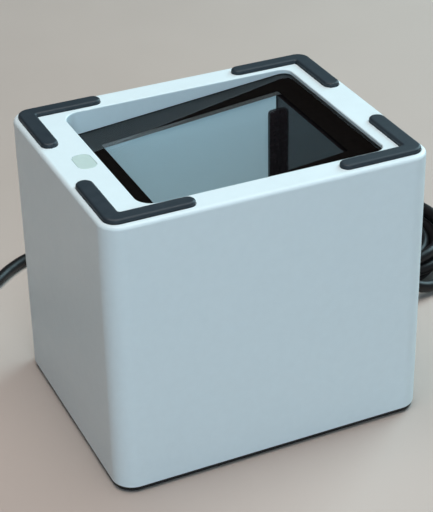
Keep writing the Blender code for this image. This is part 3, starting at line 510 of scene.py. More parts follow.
GLASS = glass_look("window_clear", (0.97, 0.985, 0.98))
LENS_GLASS = surface(
    "lens_coated", (0.010, 0.008, 0.016), 0.04, vary=0.1, depth=0.0, rough_vary=0.01, Coat_Weight=1.0
)


def painted_glow_downwards(made):
    """Painted glow on the diffusers, no lamp, standing in for the light they scatter: more of it towards
    the chamber's floor.
    """
    tree = made.node_tree
    split = tree.nodes.new("ShaderNodeSeparateXYZ")
    tree.links.new(tree.nodes.new("ShaderNodeTexCoord").outputs["Object"], split.inputs[0])
    bright, dim, low, high = 0.38, 0.075, 40 * MM, 86 * MM
    strength = spread(tree, split.outputs["Z"], bright, dim, low, high)
    tree.links.new(strength, tree.nodes["Principled BSDF"].inputs["Emission Strength"])


painted_glow_downwards(DIFFUSER_PAINTED_GLOW)

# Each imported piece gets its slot's material; most are replaced by finer pieces further down.
CARRIED = {
    "white_shell": WHITE,
    "pad_rubber": PAD,
    "light_lens": MILKY_LENS,
    "window_glass": GLASS,
    "gasket_foam": FOAM,
    "chamber_black": CHAMBER,
    "diffuser_white": DIFFUSER_PAINTED_GLOW,
    "white_board": BOARD_WHITE,
    "green_board": BOARD,
    "chip_black": CHIP,
    "black_plastic": BLACK_CASE,
    "camera_glass": LENS_GLASS,
    "ivory_plastic": IVORY,
    "flat_cable": RIBBON,
    "foot_rubber": FOOT,
    "steel": STEEL,
    "cable_black": CABLE_BLACK,
    "tie_black": TIE_BLACK,
    "plug_black": PLUG_BLACK,
}
for part in frame["record"]["subparts"]:
    data = frame["nodes"][part["node"]].data
    data.materials.clear()
    data.materials.append(CARRIED[part["material_slot"]])


# Outer shell


def corner_signs():
    return [(sx, sy) for sy in (-1, 1) for sx in (-1, 1)]


def corner_name(sx, sy):
    return ("front" if sy < 0 else "rear") + ("_left" if sx < 0 else "_right")


# The rear right pad: its side leg's width in x, its rear leg's in y, and where both legs end
PAD_X, PAD_Y = (38.2 * MM, 43.45 * MM), (49.85 * MM, 55.6 * MM)
PAD_END = (13.8 * MM, 25.5 * MM)
PAD_RADIUS, PAD_NOTCH = 4.4 * MM, 0.8 * MM
PAD_FLOOR, PAD_TOP = SHELL_TOP - 0.2 * MM, SHELL_TOP + 1.45 * MM
PAD_GAP = 0.18 * MM


def pad_outline(grow):
    """The L of the rear right pad, with a leg along the rear and one along the side."""
    steps = 10
    outer_x, inner_x = PAD_X[1] + grow, PAD_X[0] - grow
    outer_y, inner_y = PAD_Y[1] + grow, PAD_Y[0] - grow
    half_x, half_y = (outer_x - inner_x) / 2, (outer_y - inner_y) / 2
    end_x, end_y = PAD_END[0] - grow, PAD_END[1] - grow
    radius, notch = PAD_RADIUS + grow, PAD_NOTCH - grow
    arcs = (
        ((inner_x + half_x, end_y + half_x), half_x, 180, 360),
        ((outer_x - radius, outer_y - radius), radius, 0, 90),
        ((end_x + half_y, inner_y + half_y), half_y, 90, 270),
        ((inner_x - notch, inner_y - notch), notch, 90, 0),
    )
    points = []
    for (cx, cy), size, start, stop in arcs:
        for k in range(steps * abs(stop - start) // 90 + 1):
            angle = math.radians(start + math.copysign(90 * k / steps, stop - start))
            points.append((cx + size * math.cos(angle), cy + size * math.sin(angle)))
    return points


def pad_at(sx, sy, gap=0.0):
    """The outline_of(grow) of the pad in this corner, or of its pocket."""

    def outline_of(grow):
        points = [(sx * x, sy * y) for x, y in pad_outline(gap + grow)]
        return points if sx * sy > 0 else points[::-1]

    return outline_of


CHAMBER_BOSSES = [(x * MM, y * MM) for y in (-49.2, 50.4) for x in (-30.0, 30.0)]
CORNER_BOSSES = [(x * MM, y * MM) for y in (-50.9, 50.9) for x in (-39.4, 39.4)]
CHAMBER_BOSS, CORNER_BOSS = 3.6 * MM, 4.4 * MM
BIG_PILOT, SMALL_PILOT = 1.5 * MM, 1.0 * MM
BOARD_POSTS = [(x * MM, y * MM) for y in (-28.0, 30.0) for x in (-30.0, 30.0)]
LIGHT_SCREWS = [(-21.0 * MM, 39.0 * MM), (27.0 * MM, 79.0 * MM)]  # y and z
CAMERA_SCREW_X = 10.5 * MM
STATUS_BOARD_TOP = 96.2 * MM
STATUS_BAY = (-9.0 * MM, 9.0 * MM, -53.6 * MM, -43.1 * MM)  # room for the light's board
STATUS_POSTS = [(-6.5 * MM, -51.4 * MM), (6.5 * MM, -51.4 * MM)]
STATUS_POST = 1.6 * MM
LENS = (-5.25 * MM, 5.25 * MM, -49.85 * MM, -43.35 * MM)  # the status light's
LENS_RADIUS, LENS_GAP = 2.7 * MM, 0.06 * MM


def outer_shell():
    """The white shell: walls, collar round the glass, bosses, posts, and every hole in them."""
    levels = []
    for k in range(4):
        angle = math.radians(30 * k)
        lift, inset = FOOT_FILLET * (1 - math.cos(angle)), FOOT_FILLET * (1 - math.sin(angle))
        levels.append((SHELL_LOW.z + lift, inset))
    for k in range(9):
        angle = math.radians(90 * k / 8)
        drop, inset = TOP_FILLET * (1 - math.sin(angle)), TOP_FILLET * (1 - math.cos(angle))
        levels.append((SHELL_TOP - drop, inset))
    rings = []
    for z, inset in levels:
        outline = rounded_rect(*grown(SHELL_SIDE, -inset), CORNER_RADIUS - inset, 20)
        rings.append(at_level(outline, z))
    shell = bare("shell_white", skin(rings))
    cavity = rounded_rect(*grown(SHELL_SIDE, -WALL), CORNER_RADIUS - WALL, 12)
    combine(shell, prism(cavity, SHELL_LOW.z - MM, SHELL_TOP - TOP_WALL), "DIFFERENCE")

    seat = GLASS_LAP + GAP
    collar = rounded_rect(*grown(OPENING, seat + SURROUND), GLASS_RADIUS + SURROUND)
    combine(shell, prism(collar, glass_level(COLLAR_DEPTH), SHELL_TOP - 0.9 * MM), "UNION")
    low, high = glass_level(FLANGE_DEPTH - GAP), SHELL_TOP - 0.7 * MM
    bosses = [prism(circle(x, y, CHAMBER_BOSS, 32), low, high) for x, y in CHAMBER_BOSSES]
    bosses += [prism(circle(x, y, CORNER_BOSS, 32), 4.8 * MM, 26.0 * MM) for x, y in CORNER_BOSSES]
    combine(shell, together(*bosses), "UNION")

    def opening(grow):
        x0, x1, y0, y1 = grown(OPENING, grow)
        return rounded_rect(x0, x1, y0, y1 + BACK_RELIEF, OPENING_RADIUS + grow, 16, BACK_RADIUS + grow)

    combine(shell, flared(opening, SHELL_TOP - 20 * MM, SHELL_TOP, 0.4 * MM), "DIFFERENCE")
    seat_outline = rounded_rect(*grown(OPENING, seat), GLASS_RADIUS)
    combine(shell, prism(seat_outline, SHELL_TOP - 30 * MM, glass_level(-GAP)), "DIFFERENCE")
    bay = box(*STATUS_BAY, SHELL_TOP - 24 * MM, SHELL_TOP - TOP_WALL + 0.01 * MM)
    combine(shell, bay, "DIFFERENCE")
    low, high = STATUS_BOARD_TOP + GAP, SHELL_TOP - MM
    posts = [prism(circle(x, y, STATUS_POST, 24), low, high) for x, y in STATUS_POSTS]
    combine(shell, together(*posts), "UNION")

    def lens_hole(grow):
        return rounded_rect(*grown(LENS, LENS_GAP + grow), LENS_RADIUS + LENS_GAP + grow)

    pockets = [flared(lens_hole, SHELL_TOP - 6 * MM, SHELL_TOP, 0.08 * MM, 3)]
    for sx, sy in corner_signs():
        pocket = pad_at(sx, sy, PAD_GAP)
        pockets.append(flared(pocket, PAD_FLOOR - GAP, SHELL_TOP, 0.15 * MM, 3))
    combine(shell, together(*pockets), "DIFFERENCE")

    holes = []
    for places, radius, low, high in (
        (CHAMBER_BOSSES, BIG_PILOT, SHELL_TOP - 25 * MM, SHELL_TOP - 1.4 * MM),
        (CORNER_BOSSES, BIG_PILOT, 4 * MM, 18 * MM),
        (STATUS_POSTS, SMALL_PILOT, STATUS_BOARD_TOP, SHELL_TOP - 1.6 * MM),
    ):
        holes += [prism(circle(x, y, radius, 16), low, high) for x, y in places]
    cable_hole = prism(circle(0, 0, CABLE_HOLE), -4 * MM, 4 * MM)
    holes.append(moved(cable_hole, along_y(CABLE_X, SHELL_HIGH.y - WALL / 2, CABLE_Z)))
    combine(shell, together(*holes), "DIFFERENCE")
    finished(shell, WHITE, "outer_shell", angle=30)


def corner_pads():
    for sx, sy in corner_signs():
        name = corner_name(sx, sy)
        shape = pillow(pad_at(sx, sy), PAD_FLOOR, PAD_TOP, 0.95 * MM, rise=0.7 * MM, steps=8)
        piece(f"pad_{name}", shape, PAD, f"corner_pad_{name}")


def status_lens():
    """A milky lens, flush with the top face, on a wider foot under the top wall."""
    step, ears, edge = SHELL_TOP - TOP_WALL - GAP, 1.5 * MM, 0.25 * MM
    foot = rounded_rect(LENS[0] - ears, LENS[1] + ears, LENS[2], LENS[3], LENS_RADIUS)
    rings = [
        at_level(foot, step - 0.9 * MM),
        at_level(foot, step),
        at_level(rounded_rect(*LENS, LENS_RADIUS), step),
    ]
    for k in range(4):
        angle = math.radians(30 * k)
        inset, drop = edge * (1 - math.cos(angle)), edge * (1 - math.sin(angle))
        outline = rounded_rect(*grown(LENS, -inset), LENS_RADIUS - inset)
        rings.append(at_level(outline, SHELL_TOP - drop))
    piece("status_lens", skin(rings), MILKY_LENS, "status_light_lens")


# Glass and its printed border


def window():
    def outline(grow):
        return rounded_rect(*grown(OPENING, GLASS_LAP + grow), GLASS_RADIUS + grow, 10)

    edge = 0.2 * MM
    rings = [
        at_level(outline(-edge), glass_level(GLASS_THICK)),
        at_level(outline(0.0), glass_level(GLASS_THICK - edge)),
        at_level(outline(0.0), glass_level(edge)),
        at_level(outline(-edge), glass_level(0.0)),
    ]
    piece("window_pane", skin(rings), GLASS, "window_glass", angle=20)
    clear = rounded_rect(*WINDOW, 0.8 * MM, 10)
    low, high = glass_level(GLASS_THICK - 0.02 * MM), glass_level(GLASS_THICK - 0.06 * MM)
    ring = frame_prism(outline(-0.5 * MM), clear, low, high)
    piece("window_border", ring, BORDER)


# Gasket, scan chamber and diffusers

CHAMBER_WALL, CHAMBER_FLOOR = 2.0 * MM, 26.0 * MM
FLANGE_THICK = 2.0 * MM
LIGHT_OPENING = (-17.0 * MM, 23.0 * MM, 34.0 * MM, 86.0 * MM)  # y and z, in both side walls
RAIL_X = (24.8 * MM, 26.2 * MM)
RAIL_ROUND = 1.3 * MM
CAMERA_BOARD_Z = 15.4 * MM  # its underside
CAMERA_SEAT = CAMERA_BOARD_Z + 1.2 * MM + GAP  # just over its top


def gasket():
    clear = rounded_rect(WINDOW[0], WINDOW[1], WINDOW[2], WINDOW[3] + 1.3 * MM, MM, 10)
    low, high = glass_level(GASKET_DEPTH), glass_level(GLASS_THICK + 0.08 * MM)
    ring = frame_prism(rounded_rect(*grown(OPENING, GLASS_LAP), GLASS_RADIUS, 10), clear, low, high)
    piece("gasket_ring", ring, FOAM, "window_gasket", bevel=0.12 * MM)


def rail(free, wall, low, top):
    """The (y, z) outline of a rail from the end wall to its free end, rounded at the top there."""
    corner = []
    for k in range(9):
        angle = math.radians(90 * k / 8)
        y = free + math.copysign(RAIL_ROUND * (1 - math.cos(angle)), wall - free)
        corner.append((y, top(0, y) - RAIL_ROUND * (1 - math.sin(angle))))
    if wall > free:
        return [(free, low), (wall, low), (wall, top(0, wall)), *reversed(corner)]
    return [(wall, low), (free, low), *corner, (wall, top(0, wall))]


def chamber():
    """The black tub under the glass: walls, flange, screw ears, rails, and pegs for the boards."""
    x0, x1, y0, y1 = WINDOW[0] - 3 * MM, WINDOW[1] + 3 * MM, WINDOW[2], WINDOW[3]
    wall, floor = CHAMBER_WALL, CHAMBER_FLOOR
    outline = rounded_rect(x0 - wall, x1 + wall, y0 - wall, y1 + wall, 1.5 * MM, 8)
    tub = bare("chamber_tub", prism(outline, floor - wall, glass_level(FLANGE_DEPTH + 0.6 * MM)))
    flange = rounded_rect(*grown(OPENING, GLASS_LAP), GLASS_RADIUS, 12)
    under = FLANGE_DEPTH + FLANGE_THICK
    combine(tub, prism(flange, glass_level(under), glass_level(FLANGE_DEPTH)), "UNION")
    ears, reach = [], 4.4 * MM
    low, high = glass_level(under - 0.1 * MM), glass_level(FLANGE_DEPTH + 0.1 * MM)
    for x, y in CHAMBER_BOSSES:
        edge = OPENING[2] - 1.6 * MM if y < 0 else OPENING[3] + 1.6 * MM
        tip = y + math.copysign(reach, y)
        ear = rounded_rect(x - reach, x + reach, min(edge, tip), max(edge, tip), 4.0 * MM, 10)
        ears.append(prism(ear, low, high))
    combine(tub, together(*ears), "UNION")
    inside = rounded_rect(x0, x1, y0, y1, 0.8 * MM, 6)
    combine(tub, prism(inside, floor, SHELL_TOP), "DIFFERENCE")

    sunk, top = 0.5 * MM, glass_level(FLANGE_DEPTH + 4.8 * MM)
    rails = []
    for free, end in ((y1 - 3.8 * MM, y1 + sunk), (y0 + 4.5 * MM, y0 - sunk)):
        side = rail(free, end, floor - sunk, top)
        shape = skin([[(x, y, z) for y, z in side] for x in RAIL_X])
        rails += [mirrored_x(shape), shape]
    combine(tub, together(*rails), "UNION")

    length, root = 6.3 * MM, x1 + wall - 0.6 * MM
    light_pegs = [(sign, y, z) for sign in (-1, 1) for y, z in LIGHT_SCREWS]
    camera_pegs = [(sign * CAMERA_SCREW_X, CAMERA_Y) for sign in (-1, 1)]
    peg = prism(circle(0, 0, 2.0 * MM, 24), 0, length)
    pegs = [moved(peg, along_x(sign, root, y, z)) for sign, y, z in light_pegs]
    for x, y in camera_pegs:
        pegs.append(prism(circle(x, y, 2.2 * MM, 24), CAMERA_SEAT, floor - 0.6 * MM))
    combine(tub, together(*pegs), "UNION")

    light_opening = box(x1 - 0.2 * MM, x1 + wall + MM, *LIGHT_OPENING)
    holes = [light_opening, mirrored_x(light_opening)]
    holes.append(prism(circle(0, CAMERA_Y, 7.0 * MM), floor - 4 * MM, floor + 2 * MM))
    for x, y in CHAMBER_BOSSES:
        holes.append(prism(circle(x, y, BIG_PILOT, 24), SHELL_TOP - 25 * MM, SHELL_TOP))
    peg_hole = prism(circle(0, 0, SMALL_PILOT, 16), -4 * MM, MM)
    holes += [moved(peg_hole, along_x(sign, root + length, y, z)) for sign, y, z in light_pegs]
    for x, y in camera_pegs:
        holes.append(prism(circle(x, y, SMALL_PILOT, 16), CAMERA_BOARD_Z, floor - 2.6 * MM))
    combine(tub, together(*holes), "DIFFERENCE")
    finished(tub, CHAMBER, "scan_chamber", bevel=0.15 * MM, angle=35)


def diffusers():
    # The panels carry their material's painted glow.
    x0, x1, y0, y1 = 26.5 * MM, 28.5 * MM, WINDOW[2] + GAP, WINDOW[3] - GAP
    outline = [(x1, y1), (x0, y1), (x0, y0), (x1, y0)]
    panel = prism(outline, CHAMBER_FLOOR + GAP, glass_level(FLANGE_DEPTH))
    for name, shape in (("left", mirrored_x(panel)), ("right", panel)):
        new, node = f"diffuser_panel_{name}", f"diffuser_{name}"
        piece(new, shape, DIFFUSER_PAINTED_GLOW, node, bevel=0.3 * MM)


# Camera lens under the chamber's floor


def lens():
    """The lens in its ribbed ring, over the square seat on the camera's board."""
    barrel = rounded_profile(
        [
            (2.4, 19.0),
            (4.2, 19.0),
            (4.2, 24.6),
            (5.4, 24.6),
            (5.4, 25.3),
            (5.15, 25.45),
            (5.15, 26.2),
            (5.4, 26.35),
            (5.4, 27.6),
            (4.3, 27.6),
            (3.4, 26.9),
            (3.4, 26.0),
            (2.4, 26.0),
        ],
        0.15,
    )
    piece("lens_ring", shifted(turned(barrel), y=CAMERA_Y), BLACK_CASE, "lens_barrel")
    radius, low, rim, bulge = 3.1 * MM, 26.3 * MM, 26.7 * MM, 0.7 * MM
    dome = [(0.0, low), (radius, low), (radius, rim)]
    for k in range(1, 8):
        angle = math.radians(90 * k / 8)
        dome.append((radius * math.cos(angle), rim + bulge * math.sin(angle)))
    dome.append((0.0, rim + bulge))
    piece("lens_dome", shifted(turned(dome), y=CAMERA_Y), LENS_GLASS, "lens_front_glass")
    half, foot = 7 * MM, CAMERA_SEAT
    outline = rounded_rect(-half, half, CAMERA_Y - half, CAMERA_Y + half, MM, 6)
    seat = bare("lens_seat", prism(outline, foot, foot + 5.6 * MM))
    combine(seat, prism(circle(0, CAMERA_Y, 4.6 * MM), foot - MM, foot + 7 * MM), "DIFFERENCE")
    finished(seat, BLACK_CASE, "lens_holder", bevel=0.25 * MM)


# Base plate and feet

FEET = [(x * MM, y * MM) for y in (-41.0, 41.0) for x in (-29.0, 29.0)]
FOOT_RECESS = [(0.0, -1.0), (6.9, -1.0), (6.9, 0.8), (6.3, 1.2), (6.3, 1.5), (0.0, 1.5)]
CASE_SCREW_HOLE = [
    (0.0, -1.0),
    (3.8, -1.0),
    (3.8, 0.8),
    (3.3, 1.2),
    (3.3, 2.3),
    (1.7, 2.3),
    (1.7, 6.0),
    (0.0, 6.0),
]


def base():
    """The plate that closes the shell: a lip under the walls and a raised part between them."""
    # The lip reaches to 0.5 mm inside the walls' faces and down to 0.6 mm. It is the plate's real edge,
    # and its black band also stands in for the shade in the gap under the shell.
    lip_inset, inset = 0.5 * MM, WALL + 0.4 * MM
    lip_side = grown(SHELL_SIDE, -lip_inset)

    def lip(grow):
        return rounded_rect(*grown(lip_side, grow), CORNER_RADIUS - lip_inset + grow, 16)

    plate = bare("base_black", pillow(lip, 0.6 * MM, 2.0 * MM, 0.12 * MM, 0.3 * MM, steps=3))
    raised = rounded_rect(*grown(SHELL_SIDE, -inset), CORNER_RADIUS - inset, 12)
    combine(plate, prism(raised, 1.0 * MM, 3.4 * MM), "UNION")
    posts = [prism(circle(x, y, 3.0 * MM, 32), 2.8 * MM, 7.0 * MM) for x, y in BOARD_POSTS]
    combine(plate, together(*posts), "UNION")
    holes = []
    for profile, sides, places in ((FOOT_RECESS, 64, FEET), (CASE_SCREW_HOLE, 48, CORNER_BOSSES)):
        hole = turned([(radius * MM, height * MM) for radius, height in profile], sides)
        holes += [shifted(hole, x, y) for x, y in places]
    holes += [prism(circle(x, y, 1.3 * MM, 20), 2.6 * MM, 8.3 * MM) for x, y in BOARD_POSTS]
    combine(plate, together(*holes), "DIFFERENCE")
    finished(plate, BLACK_CASE, "base_plate")


def feet():
    """Round rubber feet, each with a shallow dish in its underside."""
    profile = [(0.0, 0.25), (4.4, 0.25), (4.8, 0.0), (5.6, 0.0), (6.0, 0.4), (6.0, 1.2), (0.0, 1.2)]
    foot = turned(rounded_profile(profile, 0.3))
    for (sx, sy), (x, y) in zip(corner_signs(), FEET):
        name = corner_name(sx, sy)
        piece(f"foot_{name}", shifted(foot, x, y), FOOT, f"rubber_foot_{name}")


# Screws with crossed slots


def screw(shaft, length, head, height):
    """Points up from its head, whose seat is at Z = 0; sizes in mm."""
    profile = rounded_profile(
        [
            (0.0, -height),
            (head - 0.35, -height),
            (head, -height + 0.45),
            (head, 0.0),
            (shaft, 0.0),
            (shaft, length - 0.6),
            (shaft * 0.55, length),
            (0.0, length),
        ],
        0.25,
    )
    made = bare("screw", turned(profile, 40))
    arm, half, deep = head * 0.55 * MM, head * 0.11 * MM, 0.55 * height * MM
    low = -height * MM
    cross = box(-arm, arm, -half, half, low - MM, low + deep)
    combine(made, cross, "DIFFERENCE")
    combine(made, box(-half, half, -arm, arm, low - MM, low + deep), "DIFFERENCE")
    return made


def place_screws(kind, places):
    """One screw at each (new name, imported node, matrix), all from one shape."""
    for name, node, matrix in places:
        mesh = kind.data.copy()
        mesh.name = name
        mesh.transform(matrix)
        made = bpy.data.objects.new(name, mesh)
        bpy.context.scene.collection.objects.link(made)
        finished(made, STEEL, node)
    bpy.data.objects.remove(kind, do_unlink=True)


def corner_screws(kind, new, node, places, level, turn=None):
    """A screw of this kind at each of four places, in the order of corner_signs."""
    placed = []
    for (sx, sy), (x, y) in zip(corner_signs(), places):
        name = corner_name(sx, sy)
        matrix = Matrix.Translation((x, y, level(x, y) if callable(level) else level))
        placed.append((f"{new}_{name}", f"{node}_{name}", matrix @ turn if turn else matrix))
    place_screws(kind, placed)


def screws():
    over = Matrix.Rotation(math.pi, 4, "X")
    under_ears = glass_level(FLANGE_DEPTH + FLANGE_THICK + 2 * GAP)
    case, board, tub = screw(1.2, 13.0, 3.0, 1.2), screw(1.0, 5.0, 2.4, 1.3), screw(1.1, 4.6, 2.6, 1.3)
    corner_screws(case, "case_screw", "base_screw", CORNER_BOSSES, 2 * MM)
    corner_screws(board, "board_screw", "main_board_screw", BOARD_POSTS, 9.2 * MM, over)
    corner_screws(tub, "tub_screw", "chamber_screw", CHAMBER_BOSSES, under_ears)
    small = []
    for sign, name in ((-1, "left"), (1, "right")):
        matrix = Matrix.Translation((sign * CAMERA_SCREW_X, CAMERA_Y, CAMERA_BOARD_Z - GAP))
        small.append((f"lens_screw_{name}", f"camera_board_screw_{name}", matrix))
        for (y, z), height in zip(LIGHT_SCREWS, ("lower", "upper")):
            matrix = along_x(sign, 38.5 * MM, y, z) @ over
            small.append((f"lamp_screw_{name}_{height}", f"light_board_screw_{name}_{height}", matrix))
    place_screws(screw(0.7, 3.6, 1.6, 1.1), small)


# Cable's sleeve, strap and plug


def boot():
    """The moulded sleeve at the rear wall: five grooves, each bridged by two webs."""
    profile = [(0.0, -4.6), (5.2, -4.6), (5.2, -2.7), (3.8, -2.7), (3.8, 0.12), (5.5, 0.12), (5.5, 1.7)]
    webs = []
    for k in range(5):
        start, outer = 3.2 + 3.1 * k, 4.3 - 0.22 * k
        groove = outer - 0.75
        profile += [(outer, start - 1.0), (outer, start), (groove, start + 0.3), (groove, start + 1.6)]
        reach = (outer - 0.16) * MM
        web = box(-1.2 * MM, 1.2 * MM, -reach, reach, (start - 0.3) * MM, (start + 2.4) * MM)
        webs.append(moved(web, Matrix.Rotation(math.radians(90 * (k % 2)), 4, "Z")))
    profile += [(3.35, 18.6), (3.2, 20.8), (0.0, 20.8)]
    sleeve = bare("cable_boot", turned(rounded_profile(profile, 0.28, 3), 48))
    for web in webs:
        combine(sleeve, web, "UNION")
    sleeve.data.transform(along_y(CABLE_X, SHELL_HIGH.y, CABLE_Z))
    finished(sleeve, BOOT_BLACK, "cable_strain_relief", angle=40)


def strap():
    """A woven strap round one side of the coil, its end lapped over itself."""
    half = CABLE / MM / 2
    inner, outer = COIL_INNER - half, COIL_INNER + (COIL_COLUMNS - 1) * COIL_PITCH + half
    low, high = COIL_BOTTOM - half, COIL_BOTTOM + COIL_PITCH + half
    section = [value * MM for value in (inner, outer, low, high)]

    def ring(grow, radius):
        return rounded_rect(*grown(section, GAP + grow * MM), radius * MM, 8)

    centre = Matrix.Translation((COIL_CENTRE[0] * MM, COIL_CENTRE[1] * MM, 0))
    upright = Matrix.Rotation(math.radians(90), 4, "X")
    place = centre @ Matrix.Rotation(math.radians(270), 4, "Z") @ upright
    band = frame_prism(ring(0.6, 2.6), ring(0.0, 2.0), -2.5 * MM, 2.5 * MM)
    piece("coil_strap", moved(band, place), TIE_BLACK, "cable_tie", bevel=0.15 * MM)
    lap = bare("strap_end", frame_prism(ring(1.15, 3.1), ring(0.62, 2.62), -2.4 * MM, 2.4 * MM))
    kept = [value * MM for value in (inner + 6.0, outer + 4.0, low + 5.5, high + 4.0, -4.0, 4.0)]
    combine(lap, box(*kept), "INTERSECT")
    lap.data.transform(place)
    finished(lap, TIE_BLACK, bevel=0.15 * MM)


def plug():
    """The grip with its ribbed sleeve, the metal shell, the tongue and its four contacts."""
    end, before = Vector(RUN_ROUTE[-1]) * MM, Vector(RUN_ROUTE[-2]) * MM
    heading = math.atan2(end.y - before.y, end.x - before.x)
    # Built along +Z; laid down along +X with its width along Y
    laid = Matrix(((0, 0, 1, 0), (1, 0, 0, 0), (0, 1, 0, 0), (0, 0, 0, 1)))
    place = Matrix.Translation(end) @ Matrix.Rotation(heading, 4, "Z") @ laid

    def section(half_width, half_height, radius):
        x, y = half_width * MM, half_height * MM
        return rounded_rect(-x, x, -y, y, radius * MM, 8)

    # Along the plug: where, half width, half height, radius of the section's corners
    stations = [
        (-0.6, 2.7, 2.7, 2.65),
        (-0.3, 3.05, 3.05, 3.0),
        (1.3, 3.2, 3.2, 3.1),
        (1.55, 2.75, 2.75, 2.7),
        (2.35, 2.75, 2.75, 2.7),
        (2.6, 3.3, 3.3, 3.2),
        (3.8, 3.4, 3.4, 3.25),
        (4.05, 2.9, 2.9, 2.8),
        (4.85, 2.9, 2.9, 2.8),
        (5.1, 3.5, 3.45, 3.3),
        (6.3, 3.6, 3.5, 3.3),
        (6.55, 3.05, 3.0, 2.9),
        (7.35, 3.1, 3.05, 2.9),
        (7.6, 3.7, 3.6, 3.35),
        (9.2, 3.85, 3.7, 3.3),
        (10.2, 4.5, 3.75, 3.0),
        (11.2, 5.7, 3.8, 2.8),
        (12.3, 6.75, 3.85, 2.6),
        (13.6, 7.4, 3.92, 2.4),
        (15.3, 7.75, 3.98, 2.2),
        (16.8, 7.8, 4.0, 2.1),
        (35.7, 7.8, 4.0, 2.0),
        (36.4, 7.7, 3.9, 1.9),
        (36.95, 7.4, 3.65, 1.7),
        (37.3, 7.0, 3.3, 1.4),
    ]
    rings = [at_level(section(*station[1:]), station[0] * MM) for station in stations]
    grip = bare("plug_grip", skin(rings))
    rod = prism(circle(0, 0, 0.6 * MM, 20), -5.0 * MM, 5.0 * MM)
    across = moved(rod, Matrix.Rotation(math.radians(90), 4, "Y"))
    grooves = []  # six across each broad face, for the fingers
    for y in (-4.2 * MM, 4.2 * MM):
        grooves += [shifted(across, y=y, z=(20.5 + 2.1 * k) * MM) for k in range(6)]
    combine(grip, together(*grooves), "DIFFERENCE")
    grip.data.transform(place)
    finished(grip, PLUG_BLACK, "usb_plug_grip", angle=38)

    outer, inner = section(6.0, 2.25, 0.7), section(5.6, 1.85, 0.4)
    metal = bare("plug_metal", frame_prism(outer, inner, 36.9 * MM, 55.6 * MM))
    latch = box(-1.1 * MM, 1.1 * MM, -4 * MM, 4 * MM, 46.2 * MM, 48.6 * MM)
    latches = together(*[shifted(latch, x=x * MM) for x in (-2.7, 2.7)])
    combine(metal, latches, "DIFFERENCE")
    seam = box(-0.07 * MM, 0.07 * MM, -3 * MM, -1.6 * MM, 37.5 * MM, 56 * MM)
    combine(metal, seam, "DIFFERENCE")
    metal.data.transform(place)
    finished(metal, NICKEL, "usb_plug_shell", bevel=0.08 * MM, angle=40)

    tongue = moved(box(-5.3 * MM, 5.3 * MM, 0.3 * MM, 1.5 * MM, 37.0 * MM, 55.0 * MM), place)
    piece("plug_tongue", tongue, TONGUE, bevel=0.12 * MM)
    contact = box(-0.5 * MM, 0.5 * MM, 0.2 * MM, 0.36 * MM, 45.5 * MM, 54.2 * MM)
    contacts = together(*[shifted(contact, x=x * MM) for x in (-3.5, -1.0, 1.0, 3.5)])
    piece("plug_contacts", moved(contacts, place), GOLD, bevel=0.05 * MM)


# Cable, wound into a coil behind the reader


def smooth(t):
    """From 0 to 1, level at both ends."""
    t = min(max(t, 0.0), 1.0)
    return t * t * (3 - 2 * t)


def winding():
    """Points in mm round the coil: inwards on the table, outwards on top, then up for the run."""
    columns = [*reversed(range(COIL_COLUMNS)), *range(COIL_COLUMNS)]
    radii = [COIL_INNER + COIL_PITCH * k for k in columns]
    heights = [COIL_BOTTOM] * COIL_COLUMNS + [COIL_BOTTOM + COIL_PITCH] * COIL_COLUMNS
    stop = RUN_ANGLE + 360 * len(radii)
    points = []
    after_lead, before_run = 6.0, 4.0  # degrees kept free of points next to both routes
    angle = LEAD_ANGLE + after_lead
    while angle < stop - before_run:
        turns = max(0.0, (angle - STEP_ANGLE) / 360)
        k = min(int(turns), len(radii) - 1)
        step = smooth((turns - k - (1 - STEP_SHARE)) / STEP_SHARE)
        after = min(k + 1, len(radii) - 1)
        radius = radii[k] + (radii[after] - radii[k]) * step
        height = heights[k] + (heights[after] - heights[k]) * step
        radius += (LEAD_RADIUS - radii[0]) * (1 - smooth((angle - LEAD_ANGLE) / LEAD_SWEEP))
        climb = smooth((angle - (stop - RUN_SWEEP)) / RUN_SWEEP)
        radius += (RUN_RADIUS - radii[-1]) * climb
        height += (RUN_HEIGHT - heights[-1]) * climb
        turn = math.radians(angle)
        x, y = COIL_CENTRE[0] + radius * math.cos(turn), COIL_CENTRE[1] + radius * math.sin(turn)
        points.append((x, y, height))
        angle += WINDING_STEP
    return points


def smooth_route(route, spacing):
    """Points about this far apart on a smooth curve through a route's points, and its length."""
    points = [Vector(point) for point in route]
    ends = [2 * points[0] - points[1], *points, 2 * points[-1] - points[-2]]
    fine, steps = [], 12
    for a, b, c, d in zip(ends, ends[1:], ends[2:], ends[3:]):
        for k in range(steps):
            t = k / steps
            second, third = 2 * a - 5 * b + 4 * c - d, 3 * b - a - 3 * c + d
            fine.append(0.5 * (2 * b + (c - a) * t + second * t * t + third * t**3))
    fine.append(points[-1])
    along = [0.0]
    for a, b in zip(fine, fine[1:]):
        along.append(along[-1] + (b - a).length)
    count = max(2, round(along[-1] / spacing))
    spaced, i = [], 0
    for k in range(count + 1):
        target = along[-1] * k / count
        while i < len(along) - 2 and along[i + 1] < target:
            i += 1
        share = (target - along[i]) / max(along[i + 1] - along[i], 1e-9)
        spaced.append(fine[i].lerp(fine[i + 1], min(share, 1.0)))
    return spaced, along[-1]


def cable():
    points, length = smooth_route(LEAD_ROUTE + winding() + RUN_ROUTE, spacing=1.6)
    curve = bpy.data.curves.new("cable", "CURVE")
    curve.dimensions = "3D"
    curve.bevel_depth = CABLE / 2
    curve.bevel_resolution = 4
    curve.use_fill_caps = True
    spline = curve.splines.new("POLY")
    spline.points.add(len(points) - 1)
    for place, point in zip(spline.points, points):
        place.co = (*(point * MM), 1.0)
    spline.use_smooth = True
    made = bpy.data.objects.new("cable", curve)
    bpy.context.scene.collection.objects.link(made)
    curve.materials.append(CABLE_BLACK)
    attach(made, BODY)
    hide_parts("cable_lead", "cable_coil", "cable_run")
    return made, round(length * MM, 3)


# Floor, lights and camera


